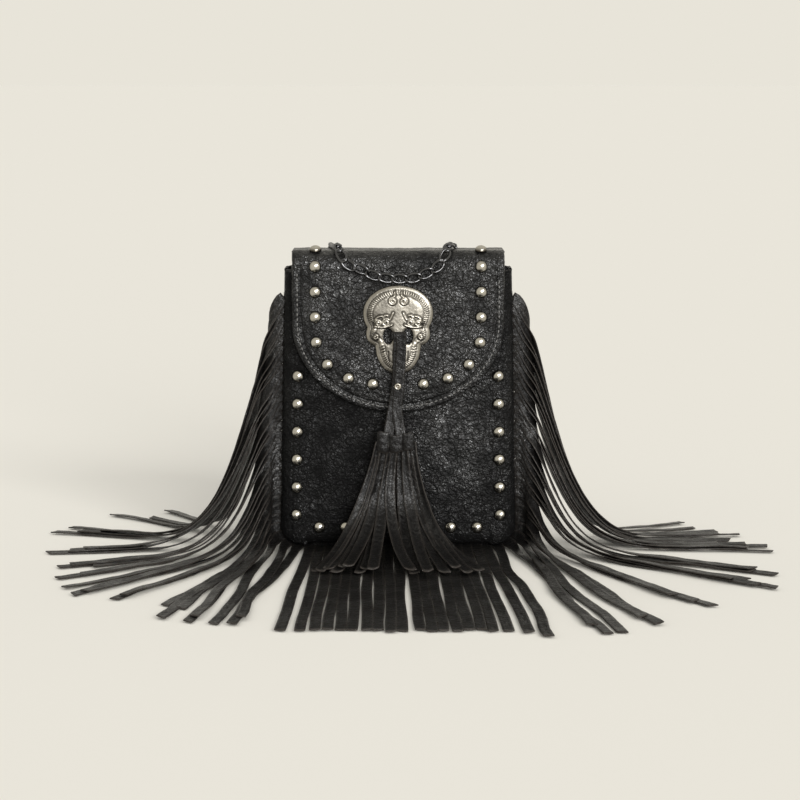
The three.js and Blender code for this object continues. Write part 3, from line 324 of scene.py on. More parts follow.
class Nodes:
    """Adds shader nodes to a material and links them."""

    def __init__(self, name, diffuse):
        self.material = bpy.data.materials.new(name)
        self.material.use_nodes = True
        self.material.diffuse_color = (*diffuse, 1)
        self.tree = self.material.node_tree
        self.shader = self.tree.nodes["Principled BSDF"]
        self.where = self.add("ShaderNodeTexCoord").outputs["Object"]

    def add(self, kind, inputs=None, **settings):
        node = self.tree.nodes.new(kind)
        for key, value in settings.items():
            setattr(node, key, value)
        for key, value in (inputs or {}).items():
            self.put(value, node.inputs[key])
        return node

    def put(self, value, socket):
        if isinstance(value, bpy.types.NodeSocket):
            self.tree.links.new(value, socket)
        else:
            socket.default_value = value

    def noise(self, scale, detail=3.0, where=None, roughness=0.55):
        inputs = {"Scale": scale, "Detail": detail, "Roughness": roughness}
        node = self.add("ShaderNodeTexNoise", inputs)
        self.put(where or self.where, node.inputs["Vector"])
        return node

    def cells(self, scale, feature="DISTANCE_TO_EDGE", where=None):
        node = self.add("ShaderNodeTexVoronoi", {"Scale": scale}, feature=feature)
        self.put(where or self.where, node.inputs["Vector"])
        return node.outputs["Distance"]

    def math(self, operation, a, b=0.0):
        return self.add("ShaderNodeMath", {0: a, 1: b}, operation=operation).outputs[0]

    def span(self, value, low, high, to_low=0.0, to_high=1.0):
        inputs = {"Value": value, "From Min": low, "From Max": high}
        inputs.update({"To Min": to_low, "To Max": to_high})
        return self.add("ShaderNodeMapRange", inputs).outputs[0]

    def ramp(self, value, stops):
        node = self.add("ShaderNodeValToRGB", {"Fac": value})
        elements = node.color_ramp.elements
        while len(elements) < len(stops):
            elements.new(0.5)
        for element, (position, colour) in zip(elements, stops):
            element.position = position
            element.color = (*colour, 1)
        return node.outputs["Color"]

    def wander(self, amount, scale):
        """The place, pushed about by noise, so that cells and lines don't look ruled."""
        kind = "ShaderNodeVectorMath"
        drift = self.noise(scale).outputs["Color"]
        away = self.add(kind, {0: drift, 1: (0.5,) * 3}, operation="SUBTRACT")
        far = self.add(kind, {0: away.outputs[0], "Scale": amount}, operation="SCALE")
        return self.add(kind, {0: self.where, 1: far.outputs[0]}, operation="ADD").outputs[0]

    def bump(self, height, distance):
        node = self.add("ShaderNodeBump", {"Height": height, "Distance": distance, "Strength": 1.0})
        self.put(node.outputs["Normal"], self.shader.inputs["Normal"])

    def set(self, **values):
        for key, value in values.items():
            self.put(value, self.shader.inputs[key.replace("_", " ")])
        return self.material


def leather(name, look, gloss=1.0):
    """Pebbled and creased near-black leather, glossy where rubbed and dull in its hollows."""
    base = tuple(look.colour)
    n = Nodes(name, base)
    moved = n.wander(0.005, 120)
    pebbles = n.math("POWER", n.span(n.cells(1000 / look.pebble, where=moved), 0.0, 0.5), 0.6)
    folds = n.span(n.cells(1000 / look.crease, where=n.wander(0.012, 75)), 0.0, 0.1)
    fine = n.noise(2300, 4, moved, 0.65).outputs["Fac"]
    swell = n.noise(330, 3, moved).outputs["Fac"]
    patches = n.noise(75, 4, roughness=0.6).outputs["Fac"]
    high = n.math("MULTIPLY", pebbles, n.span(patches, 0.36, 0.62, 0.14, 0.32))
    high = n.math("ADD", high, n.math("MULTIPLY", folds, 0.6))
    high = n.math("ADD", high, n.math("MULTIPLY", fine, 0.08))
    high = n.math("ADD", high, n.math("MULTIPLY", swell, 3.2))
    n.bump(high, 0.00036 * look.depth)
    rubbed = n.math("MULTIPLY", pebbles, n.span(folds, 0.0, 1.0, 0.55, 1.0))
    # the mark read here scales the gloss: rubbed wear, plus painted sheen that is strong where the
    # light reflects and weak where the leather is shaded
    wear_and_sheen = n.add("ShaderNodeAttribute", attribute_name="wear_and_sheen").outputs["Fac"]
    rubbed = n.math("MULTIPLY", rubbed, n.span(patches, 0.4, 0.6, 0.15, 1.0))
    by_grain = n.span(rubbed, 0.0, 0.7, 0.16, 1.0)
    shine = n.math("MULTIPLY", by_grain, n.span(wear_and_sheen, 0.0, 1.0, 0.12, 1.0))
    shine = n.math("MULTIPLY", shine, look.sheen * gloss)
    rough = n.span(rubbed, 0.0, 0.7, look.roughness + 0.12, look.roughness - 0.04)
    return n.set(Base_Color=(*base, 1), Roughness=rough, Specular_IOR_Level=shine)


def strand_leather(name, look):
    """The leather of the cut strands: grained faces, and paler raw edges where it was cut."""
    n = Nodes(name, tuple(look.strand))
    moved = n.wander(0.005, 120)
    pebbles = n.math("POWER", n.span(n.cells(1250 / look.pebble, where=moved), 0.0, 0.5), 0.6)
    fine = n.noise(2600, 4, moved, 0.65).outputs["Fac"]
    swell = n.noise(300, 3, moved).outputs["Fac"]
    patches = n.noise(45, 4, roughness=0.6).outputs["Fac"]
    edge = n.add("ShaderNodeAttribute", attribute_name="cut").outputs["Fac"]
    high = n.math("ADD", n.math("MULTIPLY", pebbles, 0.25), n.math("MULTIPLY", fine, 0.12))
    high = n.math("ADD", high, n.math("MULTIPLY", swell, 3.2))
    n.bump(high, 0.00034 * look.depth)
    raw = n.ramp(fine, [(0.3, (0.02, 0.017, 0.014)), (0.7, (0.055, 0.047, 0.04))])
    colour = n.add("ShaderNodeMix", {"Factor": edge, "B": raw}, data_type="RGBA")
    n.put((*look.strand, 1), colour.inputs["A"])
    rubbed = n.math("MULTIPLY", pebbles, n.span(patches, 0.42, 0.62, 0.15, 1.0))
    shine = n.span(rubbed, 0.0, 0.8, 0.12 * look.sheen, 0.8 * look.sheen)
    rough = n.span(rubbed, 0.0, 1.0, look.roughness + 0.16, look.roughness + 0.02)
    return n.set(Base_Color=colour.outputs["Result"], Roughness=rough, Specular_IOR_Level=shine)


def metal(name, look_colour, patina_and_shade_colour, roughness, relief=0.00003, patina_and_shade_by=None):
    """Aged metal: bright where it is rubbed, dark in its hollows. A mark, where given, sets the
    dark instead, and carries painted shade and light as well as patina.
    """
    n = Nodes(name, tuple(look_colour))
    patches = n.noise(420, 5, roughness=0.65).outputs["Fac"]
    specks = n.noise(2400, 3).outputs["Fac"]
    shade = n.span(patches, 0.3, 0.62, 0.55, 1.0)
    if patina_and_shade_by:
        high = n.add("ShaderNodeAttribute", attribute_name=patina_and_shade_by).outputs["Fac"]
        shade = n.math("MULTIPLY", n.span(high, 0.0, 1.0), n.span(patches, 0.3, 0.7, 0.7, 1.0))
    colour = n.ramp(shade, [(0.0, tuple(patina_and_shade_colour)), (1.0, tuple(look_colour))])
    n.bump(n.math("ADD", n.math("MULTIPLY", patches, 0.4), specks), relief)
    rough = n.span(shade, 0.0, 1.0, roughness + 0.16, roughness)
    return n.set(Base_Color=colour, Metallic=1.0, Roughness=rough)


def cloth(name, colour):
    """Plain woven lining."""
    n = Nodes(name, colour)
    inputs = {"Scale": 900.0, "Distortion": 0.6, "Vector": n.where}
    warp, weft = (
        n.add("ShaderNodeTexWave", inputs, bands_direction=way).outputs["Fac"] for way in "XZ"
    )
    weave = n.math("MAXIMUM", warp, weft)
    n.bump(weave, 0.00008)
    faded = n.math("MULTIPLY", n.noise(60).outputs["Fac"], 0.4)
    tone = n.math("ADD", n.math("MULTIPLY", weave, 0.7), faded)
    shades = n.ramp(tone, [(0.0, tuple(0.5 * c for c in colour)), (1.0, colour)])
    return n.set(Base_Color=shades, Roughness=0.9, Sheen_Weight=0.15)


def thread(name, colour):
    """Waxed thread with its twist."""
    n = Nodes(name, colour)
    inputs = {"Scale": 700.0, "Distortion": 1.5, "Vector": n.where}
    twist = n.add("ShaderNodeTexWave", inputs, bands_direction="DIAGONAL")
    n.bump(twist.outputs["Fac"], 0.00006)
    shades = n.ramp(twist.outputs["Fac"], [(0.0, tuple(0.4 * c for c in colour)), (1.0, colour)])
    return n.set(Base_Color=shades, Roughness=0.42, Coat_Weight=0.2)


finishes = {}


def finish_for(kind):
    """The material of a kind, made once from the current settings."""
    if kind in finishes:
        return finishes[kind]
    bag = bpy.context.scene.bag
    makers = {
        "leather": lambda: leather("bag_leather", bag.leather),
        "gusset": lambda: leather("gusset_leather", bag.leather, 0.5),
        "strand": lambda: strand_leather("strand_leather", bag.leather),
        "lining": lambda: cloth("lining_cloth", (0.035, 0.031, 0.028)),
        "thread": lambda: thread("black_thread", (0.17, 0.165, 0.155)),
        "stud": lambda: metal(
            "aged_stud_metal_with_shade", bag.metal.stud, (0.035, 0.03, 0.023), 0.17, 0.00001, "high"
        ),
        "concho": lambda: metal(
            "cast_concho_metal", bag.metal.concho, (0.03, 0.027, 0.023), 0.27, 0.00005, "high"
        ),
        "chain": lambda: metal("gunmetal_plating", bag.metal.chain, (0.012, 0.012, 0.013), 0.16),
        "snap": lambda: metal("snap_metal", bag.metal.concho, (0.1, 0.09, 0.08), 0.25),
    }
    finishes[kind] = makers[kind]()
    return finishes[kind]


# The leather shell


def wrinkled(grid, amount, series):
    """The grid pushed in and out along its normals by soft folds and creases."""
    normal = unit(np.cross(np.gradient(grid, axis=1), np.gradient(grid, axis=0)))
    shift = np.zeros(grid.shape[:2])
    for r in range(grid.shape[0]):
        for c in range(grid.shape[1]):
            at = Vector(grid[r, c]) + Vector((series * 31.7, 0, 0))
            soft = noise.noise(at / 26) * 0.55 + noise.noise(at / 11) * 0.3
            crease = noise.noise(Vector((at.x / 4.4 + at.z / 9, at.y / 5, at.z / 5 - at.x / 14)))
            shift[r, c] = soft - 0.16 * (1 - min(1.0, abs(crease) * 3.4)) ** 2
    return grid + normal * (shift * amount)[:, :, None]


def panel_grid(top, rise, puff, roll=9.0, rows=150, columns=160, shoulder=None):
    """A puffed panel's outer face as [x, height over its rim's inner face, z].

    Above the shoulder, if there is one, it is only as wide as the flap.
    """
    z_line = rise + (top - rise) * np.linspace(0, 1, rows) ** 1.12
    across = crowded(columns)
    columns = len(across)
    grid = np.zeros((rows, columns, 3))
    corner_x = BASE_WIDTH / 2 - CORNER
    corner_z = CORNER
    for r, z in enumerate(z_line):
        w = half_width(z)
        if z < corner_z:
            drop = (corner_z - z) / (corner_z - rise)
            w = mix(corner_x, half_width(corner_z), math.sqrt(max(0.0, 1 - drop**2)))
        if shoulder and z > shoulder:
            w = mix(half_width(shoulder), FLAP_HALF, float(smooth((z - shoulder) / 1.2)))
        x = across * w
        to_side = w - np.abs(x)
        edge = np.minimum(half_width(z) - np.abs(x), np.minimum(z - rise, top - z))
        if shoulder:
            beside = np.where(np.abs(x) > FLAP_HALF, np.maximum(shoulder - z, 0), 50)
            edge = np.minimum(edge, np.maximum(beside, FLAP_HALF - np.abs(x)))
        reach = np.hypot(np.maximum(np.abs(x) - corner_x, 0), max(0.0, corner_z - z))
        cornered = (np.abs(x) > corner_x) & (z < corner_z)
        edge = np.where(cornered, CORNER - reach, edge)
        edge = np.minimum(edge, to_side + (0 if z > corner_z else 50))
        edge = np.maximum(edge, 0)
        lift = puff * np.sqrt(1 - (1 - np.clip(edge / roll, 0, 1)) ** 2)
        grid[r] = np.stack([x, LEATHER + lift, np.full(columns, z)], 1)
    return grid


def bag_outline(top, inset, steps=14):
    """The open outline from the top left round the base to the top right, as [x, z]."""
    corner_x = BASE_WIDTH / 2 - CORNER
    right = [[x, inset] for x in np.linspace(0, corner_x, 12)[1:-1]]
    for i in range(steps + 1):
        turn = i / steps * math.pi / 2
        reach = CORNER - inset
        slip = (BASE_WIDTH / 2 - half_width(CORNER)) * math.sin(turn)
        right.append([corner_x + reach * math.sin(turn) - slip, CORNER - reach * math.cos(turn)])
    for z in np.linspace(CORNER, top, 40)[1:]:
        right.append([half_width(z) - inset, z])
    left = [[-x, z] for x, z in right[::-1]]
    return np.array(left + [[0, inset]] + right)


def stitch_row(points, normals, length=2.1, pitch=3.1, width=0.62, lift=0.12):
    """Thread stitches along a line that lies on a surface."""
    points, normals = np.asarray(points, float), np.asarray(normals, float)
    walked = np.concatenate([[0], np.cumsum(np.linalg.norm(np.diff(points, axis=0), axis=1))])
    parts = []
    for i in range(int((walked[-1] - length) / pitch)):
        marks = i * pitch + np.linspace(0, length, 7)
        at = np.stack([np.interp(marks, walked, points[:, k]) for k in range(3)], 1)
        out = unit(np.stack([np.interp(marks, walked, normals[:, k]) for k in range(3)], 1))
        bow = np.sin(np.linspace(0, math.pi, 7)) ** 0.5
        path = at + out * ((bow - 0.55) * width * 0.5 + lift)[:, None]
        radius = width / 2 * np.clip(bow * 1.15, 0.35, 1)
        parts.append(tube(path, radius, 6, scale=(1.0, 0.75), reference=out.mean(0)))
    return join(parts)


class BAG_OT_front(Operator):
    """Front panel: puffed leather, sewn in at its rolled edge"""

    bl_idname = "bag.front"
    bl_label = "Front panel"

    def execute(self, context):
        grid = panel_grid(FRONT_HEIGHT, FRONT_RISE, FRONT_PUFF)
        grid[:, :, 1] = FRONT_RIM + LEATHER - grid[:, :, 1]
        # the belly sits a little fuller at the bottom, as a soft bag does
        belly = np.exp(-(((grid[:, :, 2] - 62) / 55) ** 2))
        belly *= np.clip(1 - np.abs(grid[:, :, 0]) / 66, 0, 1)
        grid[:, :, 1] -= 0.7 * smooth(belly * 1.4)
        # and is creased where its edge is turned in
        turned_in = half_width(grid[:, :, 2]) - np.abs(grid[:, :, 0])
        grid[:, :, 1] += 0.45 * np.exp(-(((turned_in - 7.2) / 0.6) ** 2))
        grid = wrinkled(grid, context.scene.bag.leather.wrinkle * 1000, 1)
        points, faces = sheet(grid, LEATHER)
        # the belly's gloss is strongest to the right of its middle and weak on its left: rubbed
        # wear, plus painted sheen where the light reflects and dullness where the panel is shaded
        wear_and_sheen = np.exp(-(((points[:, 0] - 34) / 30) ** 2) - ((points[:, 2] - 80) / 45) ** 2)
        marks = {"wear_and_sheen": 0.12 + 0.88 * wear_and_sheen}
        piece(
            "front_leather", points, faces, finish_for("leather"),
            "root", ["front_panel"], marks,
        )
        return {"FINISHED"}


class BAG_OT_back(Operator):
    """Back panel with the seam stitching that holds the flap"""

    bl_idname = "bag.back"
    bl_label = "Back panel"

    def execute(self, context):
        top = FLAP_TOP - FLAP_THICK - GAP
        grid = panel_grid(top, 0.0, BACK_PUFF, columns=100, shoulder=FRONT_HEIGHT)
        grid[:, :, 1] = BACK_RIM - LEATHER + grid[:, :, 1]
        grid = grid[:, ::-1]
        grid = wrinkled(grid, context.scene.bag.leather.wrinkle * 800, 2)
        points, faces = sheet(grid, LEATHER)
        marks = {"wear_and_sheen": np.full(len(points), 0.7)}
        piece(
            "back_leather", points, faces, finish_for("leather"),
            "root", ["back_panel"], marks,
        )
        outline = bag_outline(176, 4.0)
        line = np.stack([outline[:, 0], np.full(len(outline), BACK_RIM + 1.7), outline[:, 1]], 1)
        points, faces = stitch_row(line, np.tile([0.0, 1.0, 0.0], (len(line), 1)))
        piece("back_stitching", points, faces, finish_for("thread"), "root")
        return {"FINISHED"}


class BAG_OT_gusset(Operator):
    """Gusset and cloth lining"""

    bl_idname = "bag.gusset"
    bl_label = "Gusset and lining"

    def band(self, inset, top, depth, front, columns):
        outline = bag_outline(top, inset)
        grid = np.zeros((len(outline), columns, 3))
        for c, t in enumerate(np.linspace(0, 1, columns)):
            y = np.full(len(outline), front + t * depth)
            grid[:, c] = np.stack([outline[:, 0], y, outline[:, 1]], 1)
        return grid

    def execute(self, context):
        grid = wrinkled(self.band(0.0, FRONT_HEIGHT, GUSSET_DEPTH, GUSSET_FRONT, 18), 0.12, 3)
        points, faces = sheet(grid, LEATHER)
        piece(
            "gusset_leather", points, faces, finish_for("gusset"),
            "root", ["gusset"],
        )
        inset, thick = LEATHER + GAP, LINING_THICK
        top = FRONT_HEIGHT - LINING_DROP
        front, depth = GUSSET_FRONT, GUSSET_DEPTH - GAP
        band = self.band(inset, top, depth, front, 14)
        parts = [sheet(band, thick)]
        for y, facing in ((front, -1), (front + depth, 1)):
            wall = panel_grid(top, inset, 0.0, rows=60, columns=60)
            squeeze = (half_width(90) - inset) / half_width(90)
            wall[:, :, 0] *= squeeze
            wall[:, :, 1] = y
            ripple = np.sin(wall[:, :, 0] / 9 + wall[:, :, 2] / 40) * 0.12
            inner = np.clip(1 - np.abs(wall[:, :, 0]) / 60, 0, 1)
            wall[:, :, 1] -= facing * np.abs(ripple) * inner
            parts.append(sheet(wall if facing < 0 else wall[:, ::-1], thick))
        points, faces = join(parts)
        piece(
            "cloth_lining", points, faces, finish_for("lining"), "root", ["lining"]
        )
        return {"FINISHED"}


# The flap


def flap_edge_distance(x, z):
    if z > CURVE_START:
        return FLAP_HALF - abs(x)
    return (1 - math.hypot(x / FLAP_HALF, (CURVE_START - z) / CURVE_DROP)) * CURVE_DROP


def flap_puff(x, z):
    return FLAP_PUFF * float(smooth((flap_edge_distance(x, z) - 6) / 6))


def flap_top_line():
    """The flap's outer line from the back panel over the top and down to where its curve starts."""
    line = [[BACK_FACE + 2.3, 182.8], [BACK_FACE + 2.25, 185.6], [BACK_FACE + 1.4, 188.4]]
    line.append([BACK_RIM - 0.6, FLAP_TOP])
    line += [[y, FLAP_TOP] for y in np.linspace(9, FOLD_Y + 1, 9)]
    for i in range(13):
        turn = i / 12 * math.pi / 2
        line.append([FOLD_Y - FOLD_RADIUS * math.sin(turn), FOLD_Z + FOLD_RADIUS * math.cos(turn)])
    line += [[flap_y(z), z] for z in np.linspace(178, CURVE_START, 14)]
    return np.array(line)


def flap_grid(columns=170, curve_rows=80):
    """The flap's outer face, from the tip up and over to the back, with rows across it."""
    across = crowded(columns)
    columns = len(across)
    rows = []
    for y, z in flap_top_line():
        x = across * FLAP_HALF
        lift = np.zeros(columns)
        if y < FOLD_Y - 2:
            share = min(1.0, (FOLD_Y - 2 - y) / 6)
            lift = np.array([flap_puff(v, z) for v in x]) * share
        rows.append(np.stack([x, y - lift, np.full(columns, z)], 1))
    for v in crowded(2 * curve_rows)[curve_rows + 1 :]:
        x = FLAP_HALF * across * math.sqrt(1 - v * v / 2)
        z = CURVE_START - CURVE_DROP * v * np.sqrt(1 - across**2 / 2)
        lift = np.array([flap_puff(a, b) for a, b in zip(x, z)])
        rows.append(np.stack([x, flap_y(z) - lift, z], 1))
    return np.array(rows[::-1])


class BAG_OT_flap(Operator):
    """Flap with its padded field, rolled border and edge stitching"""

    bl_idname = "bag.flap"
    bl_label = "Flap"

    def execute(self, context):
        grid = flap_grid()
        for r in range(grid.shape[0]):
            for c in range(grid.shape[1]):
                x, y, z = grid[r, c]
                if y < FOLD_Y - 2:
                    # a flat border with a rounded rim, a sewn groove, and the padded field's bead
                    distance = flap_edge_distance(x, z)
                    groove = math.exp(-(((distance - FLAP_GROOVE) / 0.55) ** 2))
                    bead = math.exp(-(((distance - FLAP_GROOVE - 2.2) / 1.5) ** 2))
                    rim = math.exp(-((distance / 0.7) ** 2))
                    grid[r, c, 1] += 0.55 * groove - 0.35 * bead + 0.5 * rim
        grid = wrinkled(grid, context.scene.bag.leather.wrinkle * 900, 4)
        points, faces = sheet(grid, FLAP_THICK, 0.42)
        # full gloss over the whole flap, part of the painted sheen
        marks = {"wear_and_sheen": np.full(len(points), 1.0)}
        flap = piece(
            "flap_leather", points, faces, finish_for("leather"), None,
            ["flap"], marks,
        )
        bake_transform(flap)
        line = [[-FLAP_HALF + FLAP_SEWN, z] for z in np.linspace(176, CURVE_START, 60)[:-1]]
        for turn in np.linspace(0, math.pi, 260):
            z = CURVE_START - (CURVE_DROP - FLAP_SEWN) * math.sin(turn)
            line.append([(FLAP_SEWN - FLAP_HALF) * math.cos(turn), z])
        line += [[FLAP_HALF - FLAP_SEWN, z] for z in np.linspace(CURVE_START, 176, 60)[1:]]
        front = grid[grid[:, :, 1] < FOLD_Y - 2]
        sewn = []
        for x, z in line:
            reach = np.hypot(front[:, 0] - x, front[:, 2] - z)
            near = np.argsort(reach)[:4]
            share = 1 / (reach[near] + 0.01)
            sewn.append([x, float(share @ front[near, 1] / share.sum()), z])
        points, faces = stitch_row(sewn, np.tile(forwards, (len(sewn), 1)), width=0.85, lift=0.16)
        piece("flap_stitching", points, faces, finish_for("thread"), "flap")
        return {"FINISHED"}


# Metal fittings


def node_centre(node):
    low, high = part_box(node)
    return np.array([(low[k] + high[k]) * 500 for k in range(3)]), low * 1000, high * 1000


class BAG_OT_studs(Operator):
    """Domed studs, on the flap and round the front panel"""

    bl_idname = "bag.studs"
    bl_label = "Studs"

    def execute(self, context):
        metal_settings = context.scene.bag.metal
        radius, height = metal_settings.stud_radius * 1000, metal_settings.stud_height * 1000
        profile = [(0, 0), (radius * 0.98, 0), (radius, 0.18), (radius * 0.985, 0.45)]
        for i in range(1, 11):
            turn = i / 10 * math.pi / 2
            profile.append((radius * 0.94 * math.cos(turn), 0.5 + (height - 0.5) * math.sin(turn)))
        profile[-1] = (0, height)
        tilt = math.radians(TOP_STUD_TILT)
        leaning = np.array([0.0, -math.sin(tilt), math.cos(tilt)])
        for node in sorted(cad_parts):
            if not node.startswith(("flap_stud", "body_stud")):
                continue
            centre, _, high = node_centre(node)
            if node.endswith("_top"):
                direction = leaning
                reach = FOLD_RADIUS + FLAP_PUFF * math.sin(tilt) + 0.15
                seat = np.array([centre[0], FOLD_Y, FOLD_Z]) + leaning * reach
            else:
                direction = forwards
                seat = np.array([centre[0], high[1] + 0.15, centre[2]])
            body = "flap" if node.startswith("flap") else "root"
            points, faces = turned(profile, seat, direction)
            # painted shade: the dome's colour darkens from near its top down to its foot, where it
            # meets the leather
            above = (points - seat) @ direction / height
            marks = {"high": smooth((above - 0.08) / 0.8)}
            piece(
                "dome_" + node, points, faces, finish_for("stud"), body, [node], marks
            )
        return {"FINISHED"}


class BAG_OT_snap(Operator):
    """Snap fastener and the tassel's rivet"""

    bl_idname = "bag.snap"
    bl_label = "Snap and rivet"

    def execute(self, context):
        for node, body in (("snap_stud", "flap"), ("snap_socket", "root")):
            centre, low, high = node_centre(node)
            deep = high[1] - low[1]
            wide = (high[0] - low[0]) / 2
            profile = [(0, 0), (wide - 0.3, 0), (wide, 0.2), (wide, deep - 0.3), (wide - 0.4, deep)]
            profile += [(wide - 1.4, deep), (wide - 1.8, deep - 0.25), (wide * 0.45, deep - 0.3)]
            profile += [(wide * 0.4, deep), (0, deep)]
            seat = [centre[0], high[1], centre[2]]
            points, faces = turned(profile, seat, forwards, 36)
            piece("turned_" + node, points, faces, finish_for("snap"), body, [node])
        centre, low, high = node_centre("tassel_rivet")
        wide, deep = (high[0] - low[0]) / 2, high[1] - low[1]
        hole, roll = wide * 0.36, wide * 0.32
        profile = [(0, 0), (wide, 0), (wide, 0.25)]
        for t in np.linspace(0, math.pi, 11):
            profile.append((hole + roll + roll * math.cos(t), 0.3 + (deep - 0.3) * math.sin(t)))
        profile += [(hole, 0.1), (0, 0.1)]
        seat = [centre[0], high[1], centre[2]]
        points, faces = turned(profile, seat, forwards, 24)
        piece(
            "domed_rivet", points, faces, finish_for("snap"),
            "tassel", ["tassel_rivet"],
        )
        return {"FINISHED"}


def quadratic(a, b, c, count):
    t = np.linspace(0, 1, count)[:, None]
    a, b, c = (np.array(p, float) for p in (a, b, c))
    return (1 - t) ** 2 * a + 2 * t * (1 - t) * b + t * t * c


def concho_outline():
    """The plate's outline, a crown over cheeks and a jaw, as [x, z] points."""
    notch_z = CROWN_Z - CROWN_HEIGHT / 2
    jaw_top = CONCHO_BOTTOM + CONCHO_LENGTH * 0.32
    right = [quadratic((0, CONCHO_BOTTOM), (10.5, CONCHO_BOTTOM + 1), (13.5, jaw_top - 6), 18)]
    right.append(np.linspace((13.5, jaw_top - 6), (14.5, jaw_top), 7)[1:])
    right.append(quadratic((14.5, jaw_top), (22.2, jaw_top + 3), (19.4, notch_z), 16)[1:])
    to_crown = quadratic((19.4, notch_z), (CROWN_HALF, notch_z + 4), (CROWN_HALF, CROWN_Z), 10)
    right.append(to_crown[1:])
    turns = np.linspace(0, math.pi / 2, 30)[1:]
    right.append(np.stack([CROWN_HALF * np.cos(turns), CROWN_Z + CROWN_HEIGHT * np.sin(turns)], 1))
    right = np.concatenate(right)
    left = right[1:-1][::-1] * [-1, 1]
    return np.concatenate([right, left])


def line_distance(points, line):
    """The distance from each point to a line of points, all in the plate's plane."""
    best = np.full(len(points), 1e9)
    for a, b in zip(line[:-1], line[1:]):
        way = b - a
        share = np.clip((points - a) @ way / max(way @ way, 1e-9), 0, 1)
        best = np.minimum(best, np.linalg.norm(points - a - share[:, None] * way, axis=1))
    return best


def curl(centre, radius, start, turns, tail=None):
    """A scroll: a spiral that winds in to its centre, with an optional tail."""
    t = np.linspace(0, 1, 26)
    angle = math.radians(start) + turns * 2 * math.pi * t
    size = radius * (1 - 0.72 * t)
    line = np.stack([centre[0] + size * np.cos(angle), centre[1] + size * np.sin(angle)], 1)
    return np.vstack([tail, line]) if tail is not None else line


def scrolls():
    """The cast ornament: two hanging drops at the crown and a group of leaves over each eye."""
    lines = []
    for side in (-1, 1):
        drop = [(2.2, 13.4), (2.0, 11.5), (3.0, 10.2)]
        drop = np.array([[side * x, CROWN_Z + z] for x, z in drop])
        lines.append(curl((side * 3.4, CROWN_Z + 7.6), 2.5, 90, side * -1.5, drop))
        stem = [(3.2, 14.6), (4.3, 12.2), (5.2, 10.4)]
        stem = np.array([[side * x, EYE_Z + z] for x, z in stem])
        lines.append(curl((side * 7.6, EYE_Z + 8.6), 2.6, 90 + side * 50, side * -1.4, stem))
        lines.append(curl((side * 12.4, EYE_Z + 8.2), 2.1, 90 - side * 70, side * 1.3))
        for leaf, count in (
            (((4.0, 7.2), (9, 4.6), (14.6, 6.2)), 12),
            (((10.2, 12.6), (13, 12.6), (14.4, 10.2)), 8),
            (((6.4, 12.8), (8.4, 14.0), (9.4, 11.6)), 8),
        ):
            lines.append(quadratic(*((side * x, EYE_Z + z) for x, z in leaf), count))
    lines.append(curl((14.2, EYE_Z - 0.6), 1.7, 90, 1.0))
    lines.append(curl((-14.2, EYE_Z - 0.6), 1.7, 90, -1.0))
    return lines


def concho_relief(flat, outline):
    """The height of the cast face over the plate's dome at each point, and its tone: patina by how
    high it stands, with painted light towards the right.
    """
    edge = line_distance(flat, np.vstack([outline, outline[:1]]))
    height = np.zeros(len(flat))
    rim, _ = route(np.column_stack([outline, np.zeros(len(outline))]), 0.25)
    nearest = np.array([np.argmin(np.hypot(rim[:, 0] - x, rim[:, 1] - z)) for x, z in flat])
    tick = 0.5 + 0.5 * np.cos(2 * math.pi * 0.25 * nearest / TICK_PITCH + edge * 0.9)
    band = np.exp(-(((edge - 4.3) / 1.15) ** 2))
    height += 0.36 * band * (tick * 1.7 - 1.0)
    height -= 0.22 * np.exp(-(((edge - 2.7) / 0.34) ** 2))
    height -= 0.18 * np.exp(-(((edge - 6.1) / 0.4) ** 2))
    ornament = np.full(len(flat), 9.0)
    for line in scrolls():
        ornament = np.minimum(ornament, line_distance(flat, np.asarray(line)))
    height += 0.42 * np.exp(-((ornament / 0.42) ** 2))
    height -= 0.2 * np.exp(-(((ornament - 0.95) / 0.3) ** 2))
    seam = np.array([[0.0, EYE_Z - 9], [0.0, CONCHO_BOTTOM + 5]])
    teeth = line_distance(flat, seam)
    for x in (-6.2, -3.1, 3.1, 6.2):
        groove = np.array([[x, CONCHO_BOTTOM + 14.5], [x * 0.92, CONCHO_BOTTOM + 7]])
        teeth = np.minimum(teeth, line_distance(flat, groove))
    height -= 0.3 * np.exp(-((teeth / 0.4) ** 2)) * (edge > 5)
    cast = np.array([noise.noise(Vector((x / 1.4, z / 1.4, 3))) for x, z in flat])
    height += 0.05 * cast
    cloudy = np.array([noise.noise(Vector((x / 7, z / 7, 8))) for x, z in flat])
    # random cloudy tone and dark patina in the recesses, plus painted light that brightens the
    # plate towards the right
    high = np.clip(0.5 + 0.35 * cloudy + height * 1.9 + (flat[:, 0] + 8) * 0.006, 0, 1)
    high *= 1 - 0.85 * np.exp(-(((ornament - 0.95) / 0.36) ** 2))
    high = np.maximum(high, smooth((2.4 - edge) / 0.8) * 0.85)
    return height, high, edge


